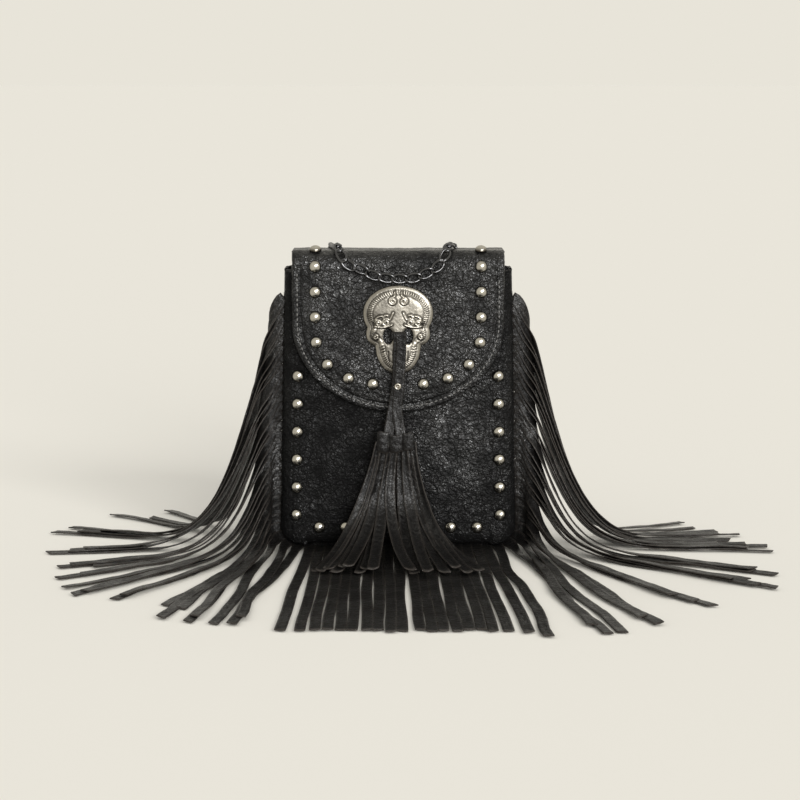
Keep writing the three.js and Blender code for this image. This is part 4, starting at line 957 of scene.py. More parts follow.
class BAG_OT_concho(Operator):
    """Cast concho: a domed plate with two eye holes, a milled band and scrolls"""

    bl_idname = "bag.concho"
    bl_label = "Concho"

    def execute(self, context):
        outline = concho_outline()
        loops = [outline]
        for side in (-1, 1):
            turns = np.linspace(0, 2 * math.pi, 40, endpoint=False)
            x = side * EYE_SPACING / 2 + EYE_HALVES[0] * np.cos(turns)
            loops.append(np.stack([x, EYE_Z + EYE_HALVES[1] * np.sin(turns)], 1))
        step = 0.4
        xs = np.arange(-CROWN_HALF, CROWN_HALF, step)
        zs = np.arange(CONCHO_BOTTOM, CONCHO_TOP, step * 0.87)
        field = []
        for row, z in enumerate(zs):
            shifted = xs + (row % 2) * step / 2
            field.append(np.stack([shifted, np.full(len(xs), z)], 1))
        field = np.concatenate(field)
        near = np.full(len(field), 9.0)
        for loop in loops:
            near = np.minimum(near, line_distance(field, np.vstack([loop, loop[:1]])))
        field = field[near > step * 0.55]
        points = [Vector(p) for p in np.concatenate(loops + [field])]
        edges, base = [], 0
        for loop in loops:
            edges += [(base + i, base + (i + 1) % len(loop)) for i in range(len(loop))]
            base += len(loop)
        flat, _, triangles, _, _, _ = delaunay_2d_cdt(points, edges, [], 4, 1e-5)
        flat = np.array([tuple(p) for p in flat])
        middle = flat[np.array(triangles)].mean(axis=1)
        inside = (np.abs(middle[:, 0]) - EYE_SPACING / 2) ** 2 / EYE_HALVES[0] ** 2
        inside += (middle[:, 1] - EYE_Z) ** 2 / EYE_HALVES[1] ** 2
        triangles = [t for t, share in zip(triangles, inside) if share > 1]
        height, high, edge = concho_relief(flat, outline)
        seat = flap_y(CONCHO_BOTTOM) - 1.0 - GAP
        dome = mix(0.9, CONCHO_DOME, np.sqrt(1 - (1 - np.clip(edge / 10, 0, 1)) ** 2))
        for loop in loops[1:]:
            to_eye = line_distance(flat, np.vstack([loop, loop[:1]]))
            dome -= 0.35 * np.exp(-((to_eye / 0.7) ** 2))
        face = np.stack([flat[:, 0], seat - dome - height, flat[:, 1]], 1)
        back = face.copy()
        back[:, 1] = seat - np.maximum(dome - CONCHO_METAL, 0)
        count = len(flat)
        faces = [tuple(t) for t in triangles]
        faces += [tuple(count + i for i in t[::-1]) for t in triangles]
        used = {}
        for t in triangles:
            for i in range(3):
                used[(t[i], t[(i + 1) % 3])] = True
        for a, b in used:
            if (b, a) not in used:
                faces.append((b, a, count + a, count + b))
        points = np.concatenate([face, back])
        marks = {"high": np.concatenate([high, high * 0.4])}
        piece(
            "cast_concho", points, faces, finish_for("concho"),
            "flap", ["concho"], marks,
        )
        post = [(0, 0), (2.5, 0), (2.5, CONCHO_DOME - 0.8), (0, CONCHO_DOME - 0.8)]
        points, faces = turned(post, [0, seat, CROWN_Z + 4], forwards, 20)
        piece("concho_post", points, faces, finish_for("snap"), "flap")
        return {"FINISHED"}


# Chain

LINK_LENGTH, LINK_WIDTH, LINK_WIRE, LINK_TWIST = 11.8, 7.0, 1.75, 0.72
LINK_PITCH = LINK_LENGTH - 2 * LINK_WIRE - 0.1
CHAIN_LIFT = LINK_WIRE / 2 + LINK_TWIST + GAP
CHAIN_REACH = 2.4  # from a surface behind the bag to the chain's middle
RING_WIRE = 1.8
RING_WIDTH = 16.4
RING_HEIGHT = 12.0
RING_TOP = 168.0
TAB_X = 56.0
TAB_TOP = 182.0
TAB_WIDTH = 11.0
TAB_THICK = 1.6


def link(middle, along, normal, tilt=0.0):
    """One twisted oval link."""
    across = unit(np.cross(normal, along))
    lift = np.cross(along, across)
    across, lift = (
        across * math.cos(tilt) + lift * math.sin(tilt),
        lift * math.cos(tilt) - across * math.sin(tilt),
    )
    turn = np.linspace(0, 2 * math.pi, 26, endpoint=False)
    reach, half = (LINK_LENGTH - LINK_WIRE) / 2, (LINK_WIDTH - LINK_WIRE) / 2
    path = (
        middle
        + along * (reach * np.cos(turn))[:, None]
        + across * (half * np.sin(turn) * (1 - 0.08 * np.cos(turn) ** 2))[:, None]
        + lift * (LINK_TWIST * np.sin(2 * turn))[:, None]
    )
    return tube(path, LINK_WIRE / 2, 8, closed=True, reference=lift)


def fold_point(x, degrees, lift):
    turn = math.radians(degrees)
    reach = FOLD_RADIUS + lift
    return [x, FOLD_Y - reach * math.sin(turn), FOLD_Z + reach * math.cos(turn)]


def chain_front_route():
    lift = CHAIN_LIFT
    low = CONCHO_TOP + LINK_WIDTH / 2 + 2 * GAP
    top = FLAP_TOP + lift
    back_y = BACK_RIM + lift
    front = lambda x, z: [x, flap_y(z) - FLAP_PUFF - lift, z]
    return [
        [-41, back_y - 5, top],
        [-39.5, 0, top],
        [-38, FOLD_Y, top],
        fold_point(-36, 45, FLAP_PUFF + lift),
        fold_point(-33.5, 82, FLAP_PUFF + lift),
        front(-26, low + 7.5),
        front(-19, low + 3.4),
        front(-11, low + 0.8),
        front(-2, low),
        front(6, low),
        front(14, low + 1.4),
        front(21, low + 5.4),
        fold_point(27, 82, FLAP_PUFF + lift),
        fold_point(30, 45, FLAP_PUFF + lift),
        [31.5, FOLD_Y, top],
        [32.5, 0, top],
        [34, back_y - 5, top],
    ]


def chain_back_route(side, start_x):
    behind = BACK_FACE + GAP + CHAIN_REACH
    low = CHAIN_REACH + GAP
    tab_x = side * TAB_X
    end = RING_TOP - RING_HEIGHT - RING_WIRE
    over = [[start_x, behind + 0.9, FLAP_TOP - 3.5], [start_x, behind + 1.0, 182]]
    down = [[start_x, behind + 0.6, 174], [start_x, behind, 150], [start_x, behind, 60]]
    floor = [
        [start_x, behind + 0.5, 20],
        [start_x, behind + 3, 8],
        [start_x - side, behind + 8, low + 1.5],
        [start_x - side * 3, behind + 15, low],
        [start_x - side * 7, behind + 27, low],
        [start_x - side * 4, behind + 40, low],
        [start_x + side * 8, behind + 44, low],
        [start_x + side * 15, behind + 32, low],
        [tab_x, behind + 17, low],
        [tab_x, behind + 9, low + 1.5],
        [tab_x, behind + 3, 8],
        [tab_x, behind + 0.5, 20],
        [tab_x, behind, 60],
        [tab_x, behind, end],
    ]
    return over + down + floor


class BAG_OT_chain(Operator):
    """Curb chain over the flap, its hidden stretches, and the D-rings in their tabs"""

    bl_idname = "bag.chain"
    bl_label = "Chain and rings"

    def links(self, points, normal_at, series):
        middles, ways = route(points, LINK_PITCH)
        parts = []
        for i, (middle, way) in enumerate(zip(middles, ways)):
            normal = normal_at(middle, way)
            parts.append(link(middle, way, normal, 0.16 * uneven(i, series)))
        return join(parts)

    def execute(self, context):
        def over_flap(middle, way):
            if middle[1] > FOLD_Y:
                return up
            if middle[2] < FOLD_Z:
                return forwards
            return unit([0, middle[1] - FOLD_Y, middle[2] - FOLD_Z])

        def behind(middle, way):
            share = smooth((middle[2] - 4) / 18)
            return unit(mix(up, np.array([0.0, 1.0, 0.0]), share) + way * 0.001)

        points, faces = self.links(chain_front_route(), over_flap, 21)
        piece(
            "chain_over_flap", points, faces, finish_for("chain"),
            "flap", ["chain_front"],
        )
        for side, name, start_x in ((-1, "left", -42), (1, "right", 35)):
            points, faces = self.links(chain_back_route(side, start_x), behind, 22 + side)
            piece(
                "chain_links_" + name, points, faces, finish_for("chain"),
                "root", ["chain_back_" + name],
            )
            self.ring(side, name)
        return {"FINISHED"}

    def ring(self, side, name):
        x, wire = side * TAB_X, RING_WIRE / 2
        y = BACK_FACE + GAP + wire + GAP + TAB_THICK
        half = RING_WIDTH / 2 - wire
        path = [[across, 0, 0] for across in np.linspace(-half, half, 12)]
        for t in np.linspace(0.12, math.pi - 0.12, 22):
            path.append([half * math.cos(t), 0, -2 - (RING_HEIGHT - 2) * math.sin(t)])
        path = np.array(path) + [x, y, RING_TOP]
        points, faces = tube(path, wire, 12, closed=True, reference=np.array([0.0, 1.0, 0.0]))
        piece(
            "ring_" + name, points, faces, finish_for("chain"),
            "root", ["d_ring_" + name],
        )
        reach = wire + GAP + TAB_THICK
        outer = BACK_FACE + GAP + TAB_THICK
        line = [[outer, z] for z in np.linspace(TAB_TOP, RING_TOP + 6, 6)]
        for t in np.linspace(-0.9, math.pi - 0.05, 20):
            line.append([y + reach * math.cos(-t), RING_TOP - reach * math.sin(t)])
        line += [[BACK_FACE + GAP + 0.05, z] for z in (RING_TOP + 1.5, TAB_TOP - 3)]
        across = x + np.linspace(1, -1, 9) * TAB_WIDTH / 2
        grid = np.array([[[u, py, pz] for u in across] for py, pz in line])
        points, faces = sheet(grid[::-1], TAB_THICK * 0.92)
        marks = {"wear_and_sheen": np.full(len(points), 0.6)}
        piece(
            "tab_" + name, points, faces, finish_for("leather"), "root",
            ["ring_tab_" + name], marks,
        )
        square = [[x - 4, 180], [x + 4, 180], [x + 4, 174.2], [x - 4, 174.2], [x - 4, 180]]
        line = np.array([[a, outer + 0.05, b] for a, b in square])
        dense = np.concatenate([np.linspace(a, b, 6)[:-1] for a, b in zip(line, line[1:])])
        points, faces = stitch_row(dense, np.tile([0.0, 1.0, 0.0], (len(dense), 1)), 1.6, 2.3)
        piece("tab_stitching_" + name, points, faces, finish_for("thread"), "root")


# Strap and tassel

CONCHO_SEAT = FLAP_FACE - FLAP_LEAN * (FOLD_Z - CONCHO_BOTTOM) - 1.0 - GAP
BRIDGE_FRONT = CONCHO_SEAT - CONCHO_DOME
PIVOT = np.array([0.0, BRIDGE_FRONT - 2 * GAP - 1.5 * STRAP_THICK, EYE_Z])
STRAP_DROP = 64.0  # from the eyes to the skirt
BAND_Z = EYE_Z - STRAP_DROP
BAND_Y = PIVOT[1] - 1.7
RIVET_DROP = 31.0
# Each strand of the tassel, from the front layer to the back: its x in the skirt, half way down and
# at its tip, and how far forward its tip rests.
TASSEL_FRONT = (
    (-12.3, -26.6, -47, -104), (-9, -19.5, -37, -106), (-4.5, -10.5, -15, -108),
    (-1.5, -4.5, 7.5, -110), (4.2, 8.5, 18, -114), (9.3, 19.5, 42, -110),
)
TASSEL_MIDDLE = (
    (-11, -22.5, -42, -100), (-7.5, -16.5, -30, -103), (-5.5, -13, -23, -104),
    (6.8, 13.8, 28, -108), (9.5, 18.5, 49, -104),
)
TASSEL_BACK = (
    (-12, -25, -50, -97), (-9.5, -19, -33, -99), (-6, -12, -20, -100),
    (1.5, 3.5, 10, -103), (7.5, 15.5, 35, -103),
)
# The skirt's top: the middle, width, top, bottom and lift of each fold round it.
TASSEL_WRAPS = ((-9.6, 6.6, 4.6, -8.5, 1.7), (-1.2, 7.4, 2.6, -8, 1.4), (6.4, 5.6, 4.0, -6.5, 1.9))


def strand_grid(path, across, widths, columns=5, cup=0.0, wave=0.0, series=0):
    """A flat strand's outer face along a path, cupped across its width."""
    path = np.asarray(path, float)
    along = unit(np.gradient(path, axis=0))
    side = unit(across - along * np.sum(across * along, axis=1, keepdims=True))
    normal = np.cross(side, along)
    spread = np.linspace(-1, 1, columns)
    widths = np.broadcast_to(widths, (len(path),))
    grid = path[:, None] + side[:, None] * (spread[None, :] * widths[:, None] / 2)[:, :, None]
    lift = cup * (1 - spread**2)[None, :] * np.ones((len(path), 1))
    if wave:
        for r in range(len(path)):
            lift[r] += wave * noise.noise(Vector((r * 0.45, series * 7.3, 0.5))) * spread
    return grid + normal[:, None] * lift[:, :, None]


class Strips:
    """Collects strips of leather, with their cut edges marked, for one piece."""

    def __init__(self):
        self.parts, self.cut = [], []

    def add(self, grid, thickness, raw=1.0):
        """Adds a strip from its outer face. raw is how pale its cut edges are."""
        points, faces = sheet(grid, thickness)
        rows, columns = grid.shape[:2]
        face = np.zeros((rows, columns))
        face[[0, -1]] = face[:, [0, -1]] = 0.25 * raw
        face[-1] = 0.6 * raw
        cut = np.full(len(points), raw)
        cut[: rows * columns] = cut[rows * columns : 2 * rows * columns] = face.ravel()
        self.parts.append((points, faces))
        self.cut.append(cut)

    def piece(self, name, body, nodes):
        points, faces = join(self.parts)
        marks = {"cut": np.concatenate(self.cut)}
        return piece(name, points, faces, finish_for("strand"), body, nodes, marks)


class BAG_OT_tassel(Operator):
    """Strap and tassel: a thong through the concho, gathered into cut strands"""

    bl_idname = "bag.tassel"
    bl_label = "Strap and tassel"

    def leg(self, xs, forward):
        """One end of the thong, from the eyes by the rivet and the skirt's top into the skirt."""
        heights = [PIVOT[2] - drop for drop in (-2.4, 6, RIVET_DROP, 46)] + [BAND_Z + 2, BAND_Z - 7]
        depths = (0.4, 0.0, 0.0, -0.1, PIVOT[1] - BAND_Y, PIVOT[1] - BAND_Y)
        line = [[x, PIVOT[1] - forward - deep, z] for x, deep, z in zip(xs, depths, heights)]
        path, _ = route(line, 1.6)
        return strand_grid(path, np.tile([1.0, 0, 0], (len(path), 1)), STRAP_WIDTH, 7, 0.35)

    def loop(self):
        """The thong's turn round the bridge between the eyes."""
        eye_at_strap = EYE_HALVES[0] * math.sqrt(1 - (STRAP_WIDTH / 2 / EYE_HALVES[1]) ** 2)
        clear = GAP + STRAP_THICK / 2
        reach = EYE_SPACING / 2 - eye_at_strap + clear
        front_y, back_y = BRIDGE_FRONT - clear, BRIDGE_FRONT + CONCHO_METAL + clear
        turns = np.linspace(0, 2 * math.pi, 41)
        bent = lambda value: np.sign(value) * np.abs(value) ** 0.45
        x = reach * bent(np.cos(turns))
        y = (back_y - front_y) / 2 * bent(np.sin(turns))
        out = unit(np.stack([x, y], 1)) * (STRAP_THICK / 2 - 0.1)
        rows = []
        for share in np.linspace(-1, 1, 7):
            z = np.full(len(x), EYE_Z + 0.4 + share * 0.38 * STRAP_WIDTH)
            rows.append(np.stack([x + out[:, 0], (front_y + back_y) / 2 + y + out[:, 1], z], 1))
        return np.array(rows)

    def strand(self, index, place, layer):
        top_x, middle_x, tip_x, tip_y = place
        t = np.linspace(0, 1, 46)
        top_y = BAND_Y - 1.1 + 1.3 * layer
        end = 3.6 + 0.9 * (2 - layer) + 2.6 * uneven(index, 38)
        z = mix(BAND_Z - 2, max(end, 2.2), 1 - (1 - t) ** 1.7)
        x = top_x * (1 - t) * (1 - 2 * t) + 4 * middle_x * t * (1 - t) + tip_x * t * (2 * t - 1)
        x += 0.6 * np.sin(t * 9 + index) * t * (1 - t)
        y = mix(top_y, tip_y, t**3) - 1.2 * np.sin(t * 8 + 2 * index) * t * (1 - 0.6 * t)
        look = bpy.context.scene.bag.fringe
        widths = look.strand_width * 1150 * mix(0.62, 1.0, smooth(t / 0.4))
        twist = 0.6 * uneven(index, 36) * np.sin(t * math.pi) - 0.3 * np.sign(tip_x) * (1 - t)
        across = np.stack([np.cos(twist), np.sin(twist), 0 * t], 1)
        path = np.stack([x, y, z], 1)
        grid = strand_grid(path, across, widths, 6, 0.9, 0.45, index)
        return cut_tip(grid, 2.2 * uneven(index, 37))

    def wrap(self, start, wide, high, low, raised):
        """A flap of the skirt's top that is folded round the legs' ends."""
        turns = np.linspace(-1.2, 1.2, 13)
        rows = []
        for z in np.linspace(high, low, 9):
            x = start + wide / 2 * np.sin(turns) / math.sin(1.2)
            y = BAND_Y - raised - 0.6 * np.cos(turns) + 0.06 * (high - z) * np.abs(turns)
            rows.append(np.stack([x, y, np.full(len(x), z) + 0.5 * np.sin(3 * turns + start)], 1))
        return np.array(rows)

    def execute(self, context):
        turn = Strips()
        turn.add(self.loop(), STRAP_THICK - 0.15, 0.3)
        turn.piece("thong_turn", "flap", ["thong_loop"])
        strips = Strips()
        strips.add(self.leg((0.2, 0.2, -0.9, -3.4, -6.2, -7.2), 0.0), STRAP_THICK, 0.4)
        strips.add(self.leg((1.7, 1.8, 0.5, -0.6, 1.6, 2.0), 0.7), STRAP_THICK, 0.4)
        for layer, places in enumerate((TASSEL_FRONT, TASSEL_MIDDLE, TASSEL_BACK)):
            for i, place in enumerate(places):
                strips.add(self.strand(7 * layer + i, place, layer), 0.95)
        for start, wide, high, low, raised in TASSEL_WRAPS:
            strips.add(self.wrap(start, wide, BAND_Z + high, BAND_Z + low, raised), 0.9, 0.6)
        tassel = strips.piece("leather_tassel", None, ["tassel"])
        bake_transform(tassel)
        return {"FINISHED"}


# Fringe

SEAM_RISE = 1.5
SEAM_ARC = CORNER * math.pi / 2
SEAM_BASE = BASE_WIDTH / 2 - CORNER
HEADER_Y = HEADER_FRONT + STRAND / 2
FLOOR_CLEARANCE = 0.1
FLOOR = FLOOR_CLEARANCE + STRAND / 2
SIDE_START = SEAM_BASE + GAP / 2
SIDE_END = SEAM_BASE + SEAM_ARC + FRINGE_TOP - CORNER
HEADER_DEEP = 6.0
STRAND_TURN = 12.0  # a strand turns to its heading over this run
LAP = 0.42  # how far, in radians, a falling strand leans over its neighbour
# Where the tips of a side rest, outwards and to the rear, from the front of the bag to its back,
# and how many strands lie on each other there.
LEFT_TIPS = (
    (91, -241, 2), (101, -239, 1), (115, -234, 2), (130, -225, 1), (121, -199, 1), (131, -190, 1),
    (161, -174, 2), (187, -162, 2), (195, -142, 1), (203, -114, 2), (186, -78, 1), (207, -80, 2),
    (220, -33, 3), (226, 38, 3), (217, 56, 1), (194, 106, 1), (167, 94, 1), (158, 120, 1),
)
RIGHT_TIPS = (
    (81, -271, 1), (113, -264, 2), (120, -260, 1), (142, -241, 2), (177, -193, 3), (221, -144, 3),
    (207, -118, 1), (227, -103, 3), (236, -28, 3), (235, -11, 2), (204, 1, 1), (214, 11, 1),
    (223, 30, 2), (209, 42, 1), (196, 56, 1), (190, 75, 1),
)
# How far to the side each base strand's tip rests.
BASE_TIPS = (
    (-64, -53, -45, -38, -31.2, -25, -16.8, -10.6, -3.6)
    + (2.4, 12.4, 18.6, 24.8, 32.6, 38.8, 45.4, 51.6, 60, 71)
)


def seam_at(walked):
    """A point of the right half of the seam, and its turn: none at the base, square at the side."""
    if walked < SEAM_BASE:
        return walked, SEAM_RISE, 0.0
    turn = min((walked - SEAM_BASE) / CORNER, math.pi / 2)
    over = max(0.0, walked - SEAM_BASE - SEAM_ARC)
    z = CORNER - (CORNER - SEAM_RISE) * math.cos(turn) + over
    taper = (BASE_WIDTH / 2 - half_width(z)) * math.sin(turn)
    return SEAM_BASE + CORNER * math.sin(turn) - taper, z, turn


class Fall:
    """The line that one strand takes from its place on the seam to its tip on the floor."""

    def __init__(self, seam, side, tip, series, index, waver, lift):
        x, z, turn = seam
        outward = np.array([side * math.sin(turn), -math.cos(turn)])
        seat = np.array([side * x, HEADER_Y])
        heading = np.asarray(tip, float) - seat - outward * STRAND_TURN / 2
        reach = STRAND_TURN / 2 + np.linalg.norm(heading)
        run = np.arange(0, reach, 0.5)
        way = unit(mix(outward, unit(heading), smooth(run / STRAND_TURN)[:, None]))
        spots = seat + np.concatenate([[[0, 0]], np.cumsum(way[:-1] * 0.5, axis=0)])
        phase = 3 * uneven(index, series + 3)
        drift = 2.0 * np.sin(run / 36 + phase) + 0.5 * np.sin(run / 15 + 2 * phase)
        drift = waver * drift * smooth(run / 90) * smooth((reach - run) / 60 + 0.25)
        spots = spots + np.stack([-way[:, 1], way[:, 0]], 1) * drift[:, None]
        fall = mix(26, 36, z / FRINGE_TOP) * (1 + 0.05 * uneven(index, series + 1))
        rest = FLOOR + lift
        steepness = 1.65 + 0.1 * uneven(index, series + 2)
        high = rest + (z - rest) * np.exp(-((run / fall) ** steepness))
        ripple = 0.5 * waver * np.maximum(0, np.sin(run / 11 + phase))
        high = high + ripple * smooth((run - 50) / 40)
        self.points = np.column_stack([spots, high])


def resampled(points, spacing):
    walked = np.concatenate([[0], np.cumsum(np.linalg.norm(np.diff(points, axis=0), axis=1))])
    wanted = np.linspace(0, walked[-1], max(6, round(walked[-1] / spacing)))
    return np.stack([np.interp(wanted, walked, points[:, k]) for k in range(3)], 1)


def fringe_header(strips, side, start, end):
    """The uncut edge of a strip, which is sewn into the seam."""
    steps = round((end - start) / 5)
    header = []
    for walked in np.linspace(start, end, steps + 1):
        x, z, turn = seam_at(abs(walked))
        across = -side if walked < 0 else side
        inner_x = across * (x - HEADER_DEEP * math.sin(turn))
        inner_z = z + HEADER_DEEP * math.cos(turn)
        header.append([[inner_x, HEADER_FRONT, inner_z], [across * x, HEADER_FRONT, z]])
    header = np.array(header)
    strips.add(header[::-1] if side < 0 or start < 0 else header, STRAND, 0.0)


def fringe_strand(strips, seam, across, tip, series, index, waver, raised):
    """One strand: edge on in the seam, lapped over the next as it falls, and flat on the floor."""
    settings = bpy.context.scene.bag.fringe
    width, thick = settings.strand_width * 1000, settings.strand_thickness * 1000
    lift = 0.25 + 0.2 * uneven(index, series + 7) + raised
    fall = Fall(seam, across, tip, series, index, waver, lift)
    path = resampled(fall.points, 2.6)
    run = np.linalg.norm(path[:, :2] - path[0, :2], axis=1)
    along = unit(np.gradient(path, axis=0))
    level = np.gradient(path, axis=0) * [1, 1, 0]
    flat = unit(np.cross(unit(level), up)) * across
    turn = seam[2]
    in_seam = np.array([-across * math.cos(turn), 0, -math.sin(turn)])
    lapped = LAP * math.sin(turn) * smooth((run - 4) / 10) * (1 - smooth((run - 50) / 50))
    lapped = lapped + 0.12 * waver * uneven(index, series + 9) * smooth((run - 30) / 50)
    lifted = np.cross(along, flat) * -across
    leaning = flat * np.cos(lapped)[:, None] + lifted * np.sin(lapped)[:, None]
    sides = unit(mix(in_seam, leaning, smooth((run - 4) / 22)[:, None]))
    path[:, 2] += np.abs(np.sin(lapped)) * width / 2 * smooth((run - 20) / 40) * 0.9
    wide = width * (1 + 0.05 * uneven(index, series + 4)) * mix(1.2, 1.0, smooth(run / 26))
    grid = strand_grid(path, sides * -across, wide, 6, 0.16, 0.22, index + series)
    strips.add(cut_tip(grid, 1.6 * uneven(index, series + 6)), thick)


def cut_tip(grid, slant):
    """The last row moved along the strand, so that its end is cut a little askew."""
    along = unit(grid[-1] - grid[-2])
    grid[-1] += along * (np.linspace(-1, 1, grid.shape[1]) * slant)[:, None]
    return grid


class BAG_OT_fringe(Operator):
    """Fringe: three cut strips in the seam, whose strands arch out and lie on the floor"""

    bl_idname = "bag.fringe"
    bl_label = "Fringe"

    def execute(self, context):
        waver = context.scene.bag.fringe.waver
        for side, name, tips, series in ((-1, "left", LEFT_TIPS, 11), (1, "right", RIGHT_TIPS, 13)):
            strips = Strips()
            fringe_header(strips, side, SIDE_START, SIDE_END)
            places = [(tip, k) for tip in tips for k in range(tip[2])]
            for i, ((out, back, _), under) in enumerate(places):
                seam = seam_at(mix(SIDE_START, SIDE_END, (i + 0.5) / len(places)))
                shorter = 1 - under * (0.05 + 0.03 * uneven(i, series + 8))
                tip = (side * out * shorter, back * shorter + 1.5 * under)
                fringe_strand(strips, seam, side, tip, series, i, waver, 0.9 * under)
            strips.piece("cut_fringe_" + name, "root", ["fringe_" + name])
        strips = Strips()
        half = SEAM_BASE - GAP / 2
        fringe_header(strips, 1, -half, half)
        length = context.scene.bag.fringe.strand_length * 1000
        for i, x in enumerate(BASE_TIPS):
            walked = mix(-half, half, (i + 0.5) / len(BASE_TIPS))
            across = 1 if walked > 0 else -1
            tip = (x, HEADER_Y - length + 3.5 * uneven(i, 17))
            fringe_strand(strips, seam_at(abs(walked)), across, tip, 12, i, 0.3 * waver, 0)
        strips.piece("cut_fringe_base", "root", ["fringe_base"])
        return {"FINISHED"}


# Stage

CAMERA_AT = (0.00115, -1.6, 0.3)
CAMERA_PITCH = 7.346  # degrees downwards
CAMERA_LENS = 114.09
SENSOR = 36
FLOOR_REACH = 60000.0


class BAG_OT_stage(Operator):
    """Pale floor, soft sky, two low suns and the camera"""

    bl_idname = "bag.stage"
    bl_label = "Stage"

    def sun(self, name, energy, degrees, towards):
        lamp = bpy.data.lights.new(name, "SUN")
        lamp.energy = energy
        lamp.angle = math.radians(degrees)
        sun = bpy.data.objects.new(name, lamp)
        sun.rotation_euler = Vector(towards).to_track_quat("Z", "Y").to_euler()
        bpy.context.scene.collection.objects.link(sun)

    def execute(self, context):
        scene = context.scene
        settings = scene.bag.stage
        floor_colour = tuple(settings.floor)
        n = Nodes("pale_floor", floor_colour)
        n.set(Base_Color=(*floor_colour, 1), Roughness=0.9, Specular_IOR_Level=0.0)
        corners = ((-1, -1), (1, -1), (1, 1), (-1, 1))
        points = [[x * FLOOR_REACH, y * FLOOR_REACH, 0] for x, y in corners]
        floor = piece("floor", points, [(0, 1, 2, 3)], n.material)

        world = bpy.data.worlds.new("studio")
        scene.world = world
        world.use_nodes = True
        tree = world.node_tree
        tree.nodes.clear()
        output = tree.nodes.new("ShaderNodeOutputWorld")
        sky = tree.nodes.new("ShaderNodeBackground")
        seen = tree.nodes.new("ShaderNodeBackground")
        choose = tree.nodes.new("ShaderNodeMixShader")
        paths = tree.nodes.new("ShaderNodeLightPath")
        sky.inputs["Color"].default_value = (1, 1, 1, 1)
        sky.inputs["Strength"].default_value = settings.sky
        seen.inputs["Color"].default_value = (*floor_colour, 1)
        straight = paths.outputs["Is Camera Ray"]
        for kind in ("Is Glossy Ray", "Is Transmission Ray"):
            either = tree.nodes.new("ShaderNodeMath")
            either.operation = "MAXIMUM"
            tree.links.new(straight, either.inputs[0])
            tree.links.new(paths.outputs[kind], either.inputs[1])
            straight = either.outputs[0]
        tree.links.new(straight, choose.inputs["Fac"])
        tree.links.new(sky.outputs[0], choose.inputs[1])
        tree.links.new(seen.outputs[0], choose.inputs[2])
        tree.links.new(choose.outputs[0], output.inputs["Surface"])

        self.sun("window_sun", settings.sun, 16, (242, -360, 190))
        self.sun("front_sun", settings.front, 24, (22, -100, 23))

        lens = bpy.data.cameras.new("camera")
        lens.sensor_width = SENSOR
        lens.lens = CAMERA_LENS
        lens.clip_end = 200
        camera = bpy.data.objects.new("camera", lens)
        camera.location = CAMERA_AT
        camera.rotation_euler = (math.radians(90 - CAMERA_PITCH), 0, 0)
        scene.collection.objects.link(camera)
        scene.camera = camera

        scene.view_settings.view_transform = "Standard"
        return {"FINISHED"}


# Settings and panel


def colour_setting(name, description, default):
    return FloatVectorProperty(
        name=name, description=description, size=3, subtype="COLOR", default=default, min=0, max=1
    )


def length_setting(name, description, default):
    kind = {"subtype": "DISTANCE", "unit": "LENGTH"}
    return FloatProperty(name=name, description=description, default=default, min=0, **kind)


def number_setting(name, description, default, most=10.0):
    return FloatProperty(name=name, description=description, default=default, min=0, max=most)


class BagLeather(PropertyGroup):
    colour: colour_setting("Colour", "Leather of the panels and flap", (0.005, 0.0049, 0.0048))
    strand: colour_setting("Strands", "Leather of the cut strands", (0.0055, 0.0051, 0.0048))
    pebble: number_setting("Pebble", "Size of a grain cell in millimetres", 1.5)
    crease: number_setting("Crease", "Spacing of the creases in millimetres", 4.2)
    depth: number_setting("Depth", "Depth of the grain, 1 as photographed", 1.0)
    roughness: number_setting("Roughness", "Roughness of the worn parts", 0.25, 1.0)
    sheen: number_setting("Gloss", "Strength of the surface reflection", 0.75, 1.0)
    wrinkle: length_setting("Wrinkle", "Height of the soft folds", 0.001)


class BagMetal(PropertyGroup):
    stud: colour_setting("Studs", "Stud metal", (0.54, 0.515, 0.455))
    concho: colour_setting("Concho", "Concho metal", (0.4, 0.375, 0.325))
    chain: colour_setting("Chain", "Chain plating", (0.11, 0.11, 0.113))
    stud_radius: length_setting("Stud radius", "Radius of a dome stud", 0.0039)
    stud_height: length_setting("Stud height", "Height of a dome stud", 0.0031)


class BagFringe(PropertyGroup):
    strand_width: length_setting("Strand width", "Width of a cut strand", 0.0059)
    strand_thickness: length_setting("Strand thickness", "Thickness of a strand", 0.0008)
    strand_length: length_setting("Strand length", "Length of a base strand", 0.25)
    waver: number_setting("Waver", "How far the strands wander, 1 as photographed", 1.0)


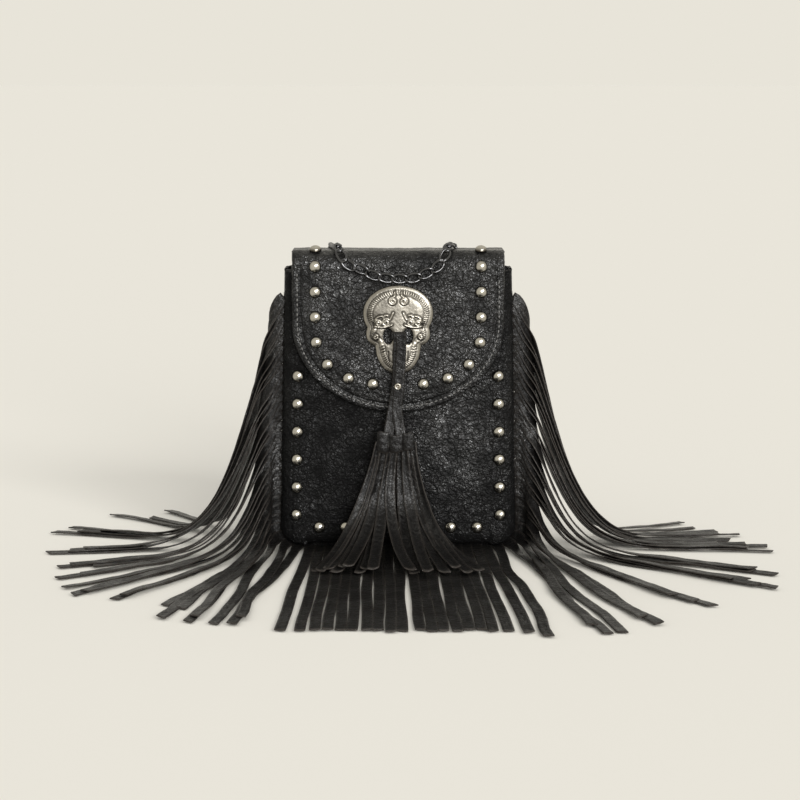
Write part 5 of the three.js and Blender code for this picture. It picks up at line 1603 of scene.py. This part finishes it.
class BagStage(PropertyGroup):
    floor: colour_setting("Floor", "Floor and backdrop", (0.807, 0.776, 0.694))
    sky: number_setting("Sky", "Strength of the soft sky", 0.69)
    sun: number_setting("Window sun", "Strength of the low sun on the right", 1.2)
    front: number_setting("Front sun", "Strength of the broad sun in front", 2.4)


class BagSettings(PropertyGroup):
    leather: PointerProperty(type=BagLeather)
    metal: PointerProperty(type=BagMetal)
    fringe: PointerProperty(type=BagFringe)
    stage: PointerProperty(type=BagStage)


OPERATORS = (
    BAG_OT_stage,
    BAG_OT_front,
    BAG_OT_back,
    BAG_OT_gusset,
    BAG_OT_flap,
    BAG_OT_studs,
    BAG_OT_snap,
    BAG_OT_concho,
    BAG_OT_chain,
    BAG_OT_tassel,
    BAG_OT_fringe,
)


class BAG_PT_build(Panel):
    """Lists the bag's pieces and settings"""

    bl_idname = "BAG_PT_build"
    bl_label = "Fringed flap bag"
    bl_space_type = "VIEW_3D"
    bl_region_type = "UI"
    bl_category = "Bag"

    def draw(self, context):
        bag = context.scene.bag
        for group in (bag.leather, bag.metal, bag.fringe, bag.stage):
            box = self.layout.box()
            for key in group.__annotations__:
                box.prop(group, key)
        for operator in OPERATORS:
            self.layout.operator(operator.bl_idname)


CLASSES = (BagLeather, BagMetal, BagFringe, BagStage, BagSettings, *OPERATORS, BAG_PT_build)


def register():
    for cls in CLASSES:
        bpy.utils.register_class(cls)
    bpy.types.Scene.bag = PointerProperty(type=BagSettings)


def unregister():
    del bpy.types.Scene.bag
    for cls in reversed(CLASSES):
        bpy.utils.unregister_class(cls)


def corners(box):
    return [[float(value) for value in corner] for corner in box]


def main():
    register()
    for step in (
        bpy.ops.bag.stage,
        bpy.ops.bag.front,
        bpy.ops.bag.back,
        bpy.ops.bag.gusset,
        bpy.ops.bag.flap,
        bpy.ops.bag.studs,
        bpy.ops.bag.snap,
        bpy.ops.bag.concho,
        bpy.ops.bag.chain,
        bpy.ops.bag.tassel,
        bpy.ops.bag.fringe,
    ):
        step()


if __name__ == "__main__":
    main()
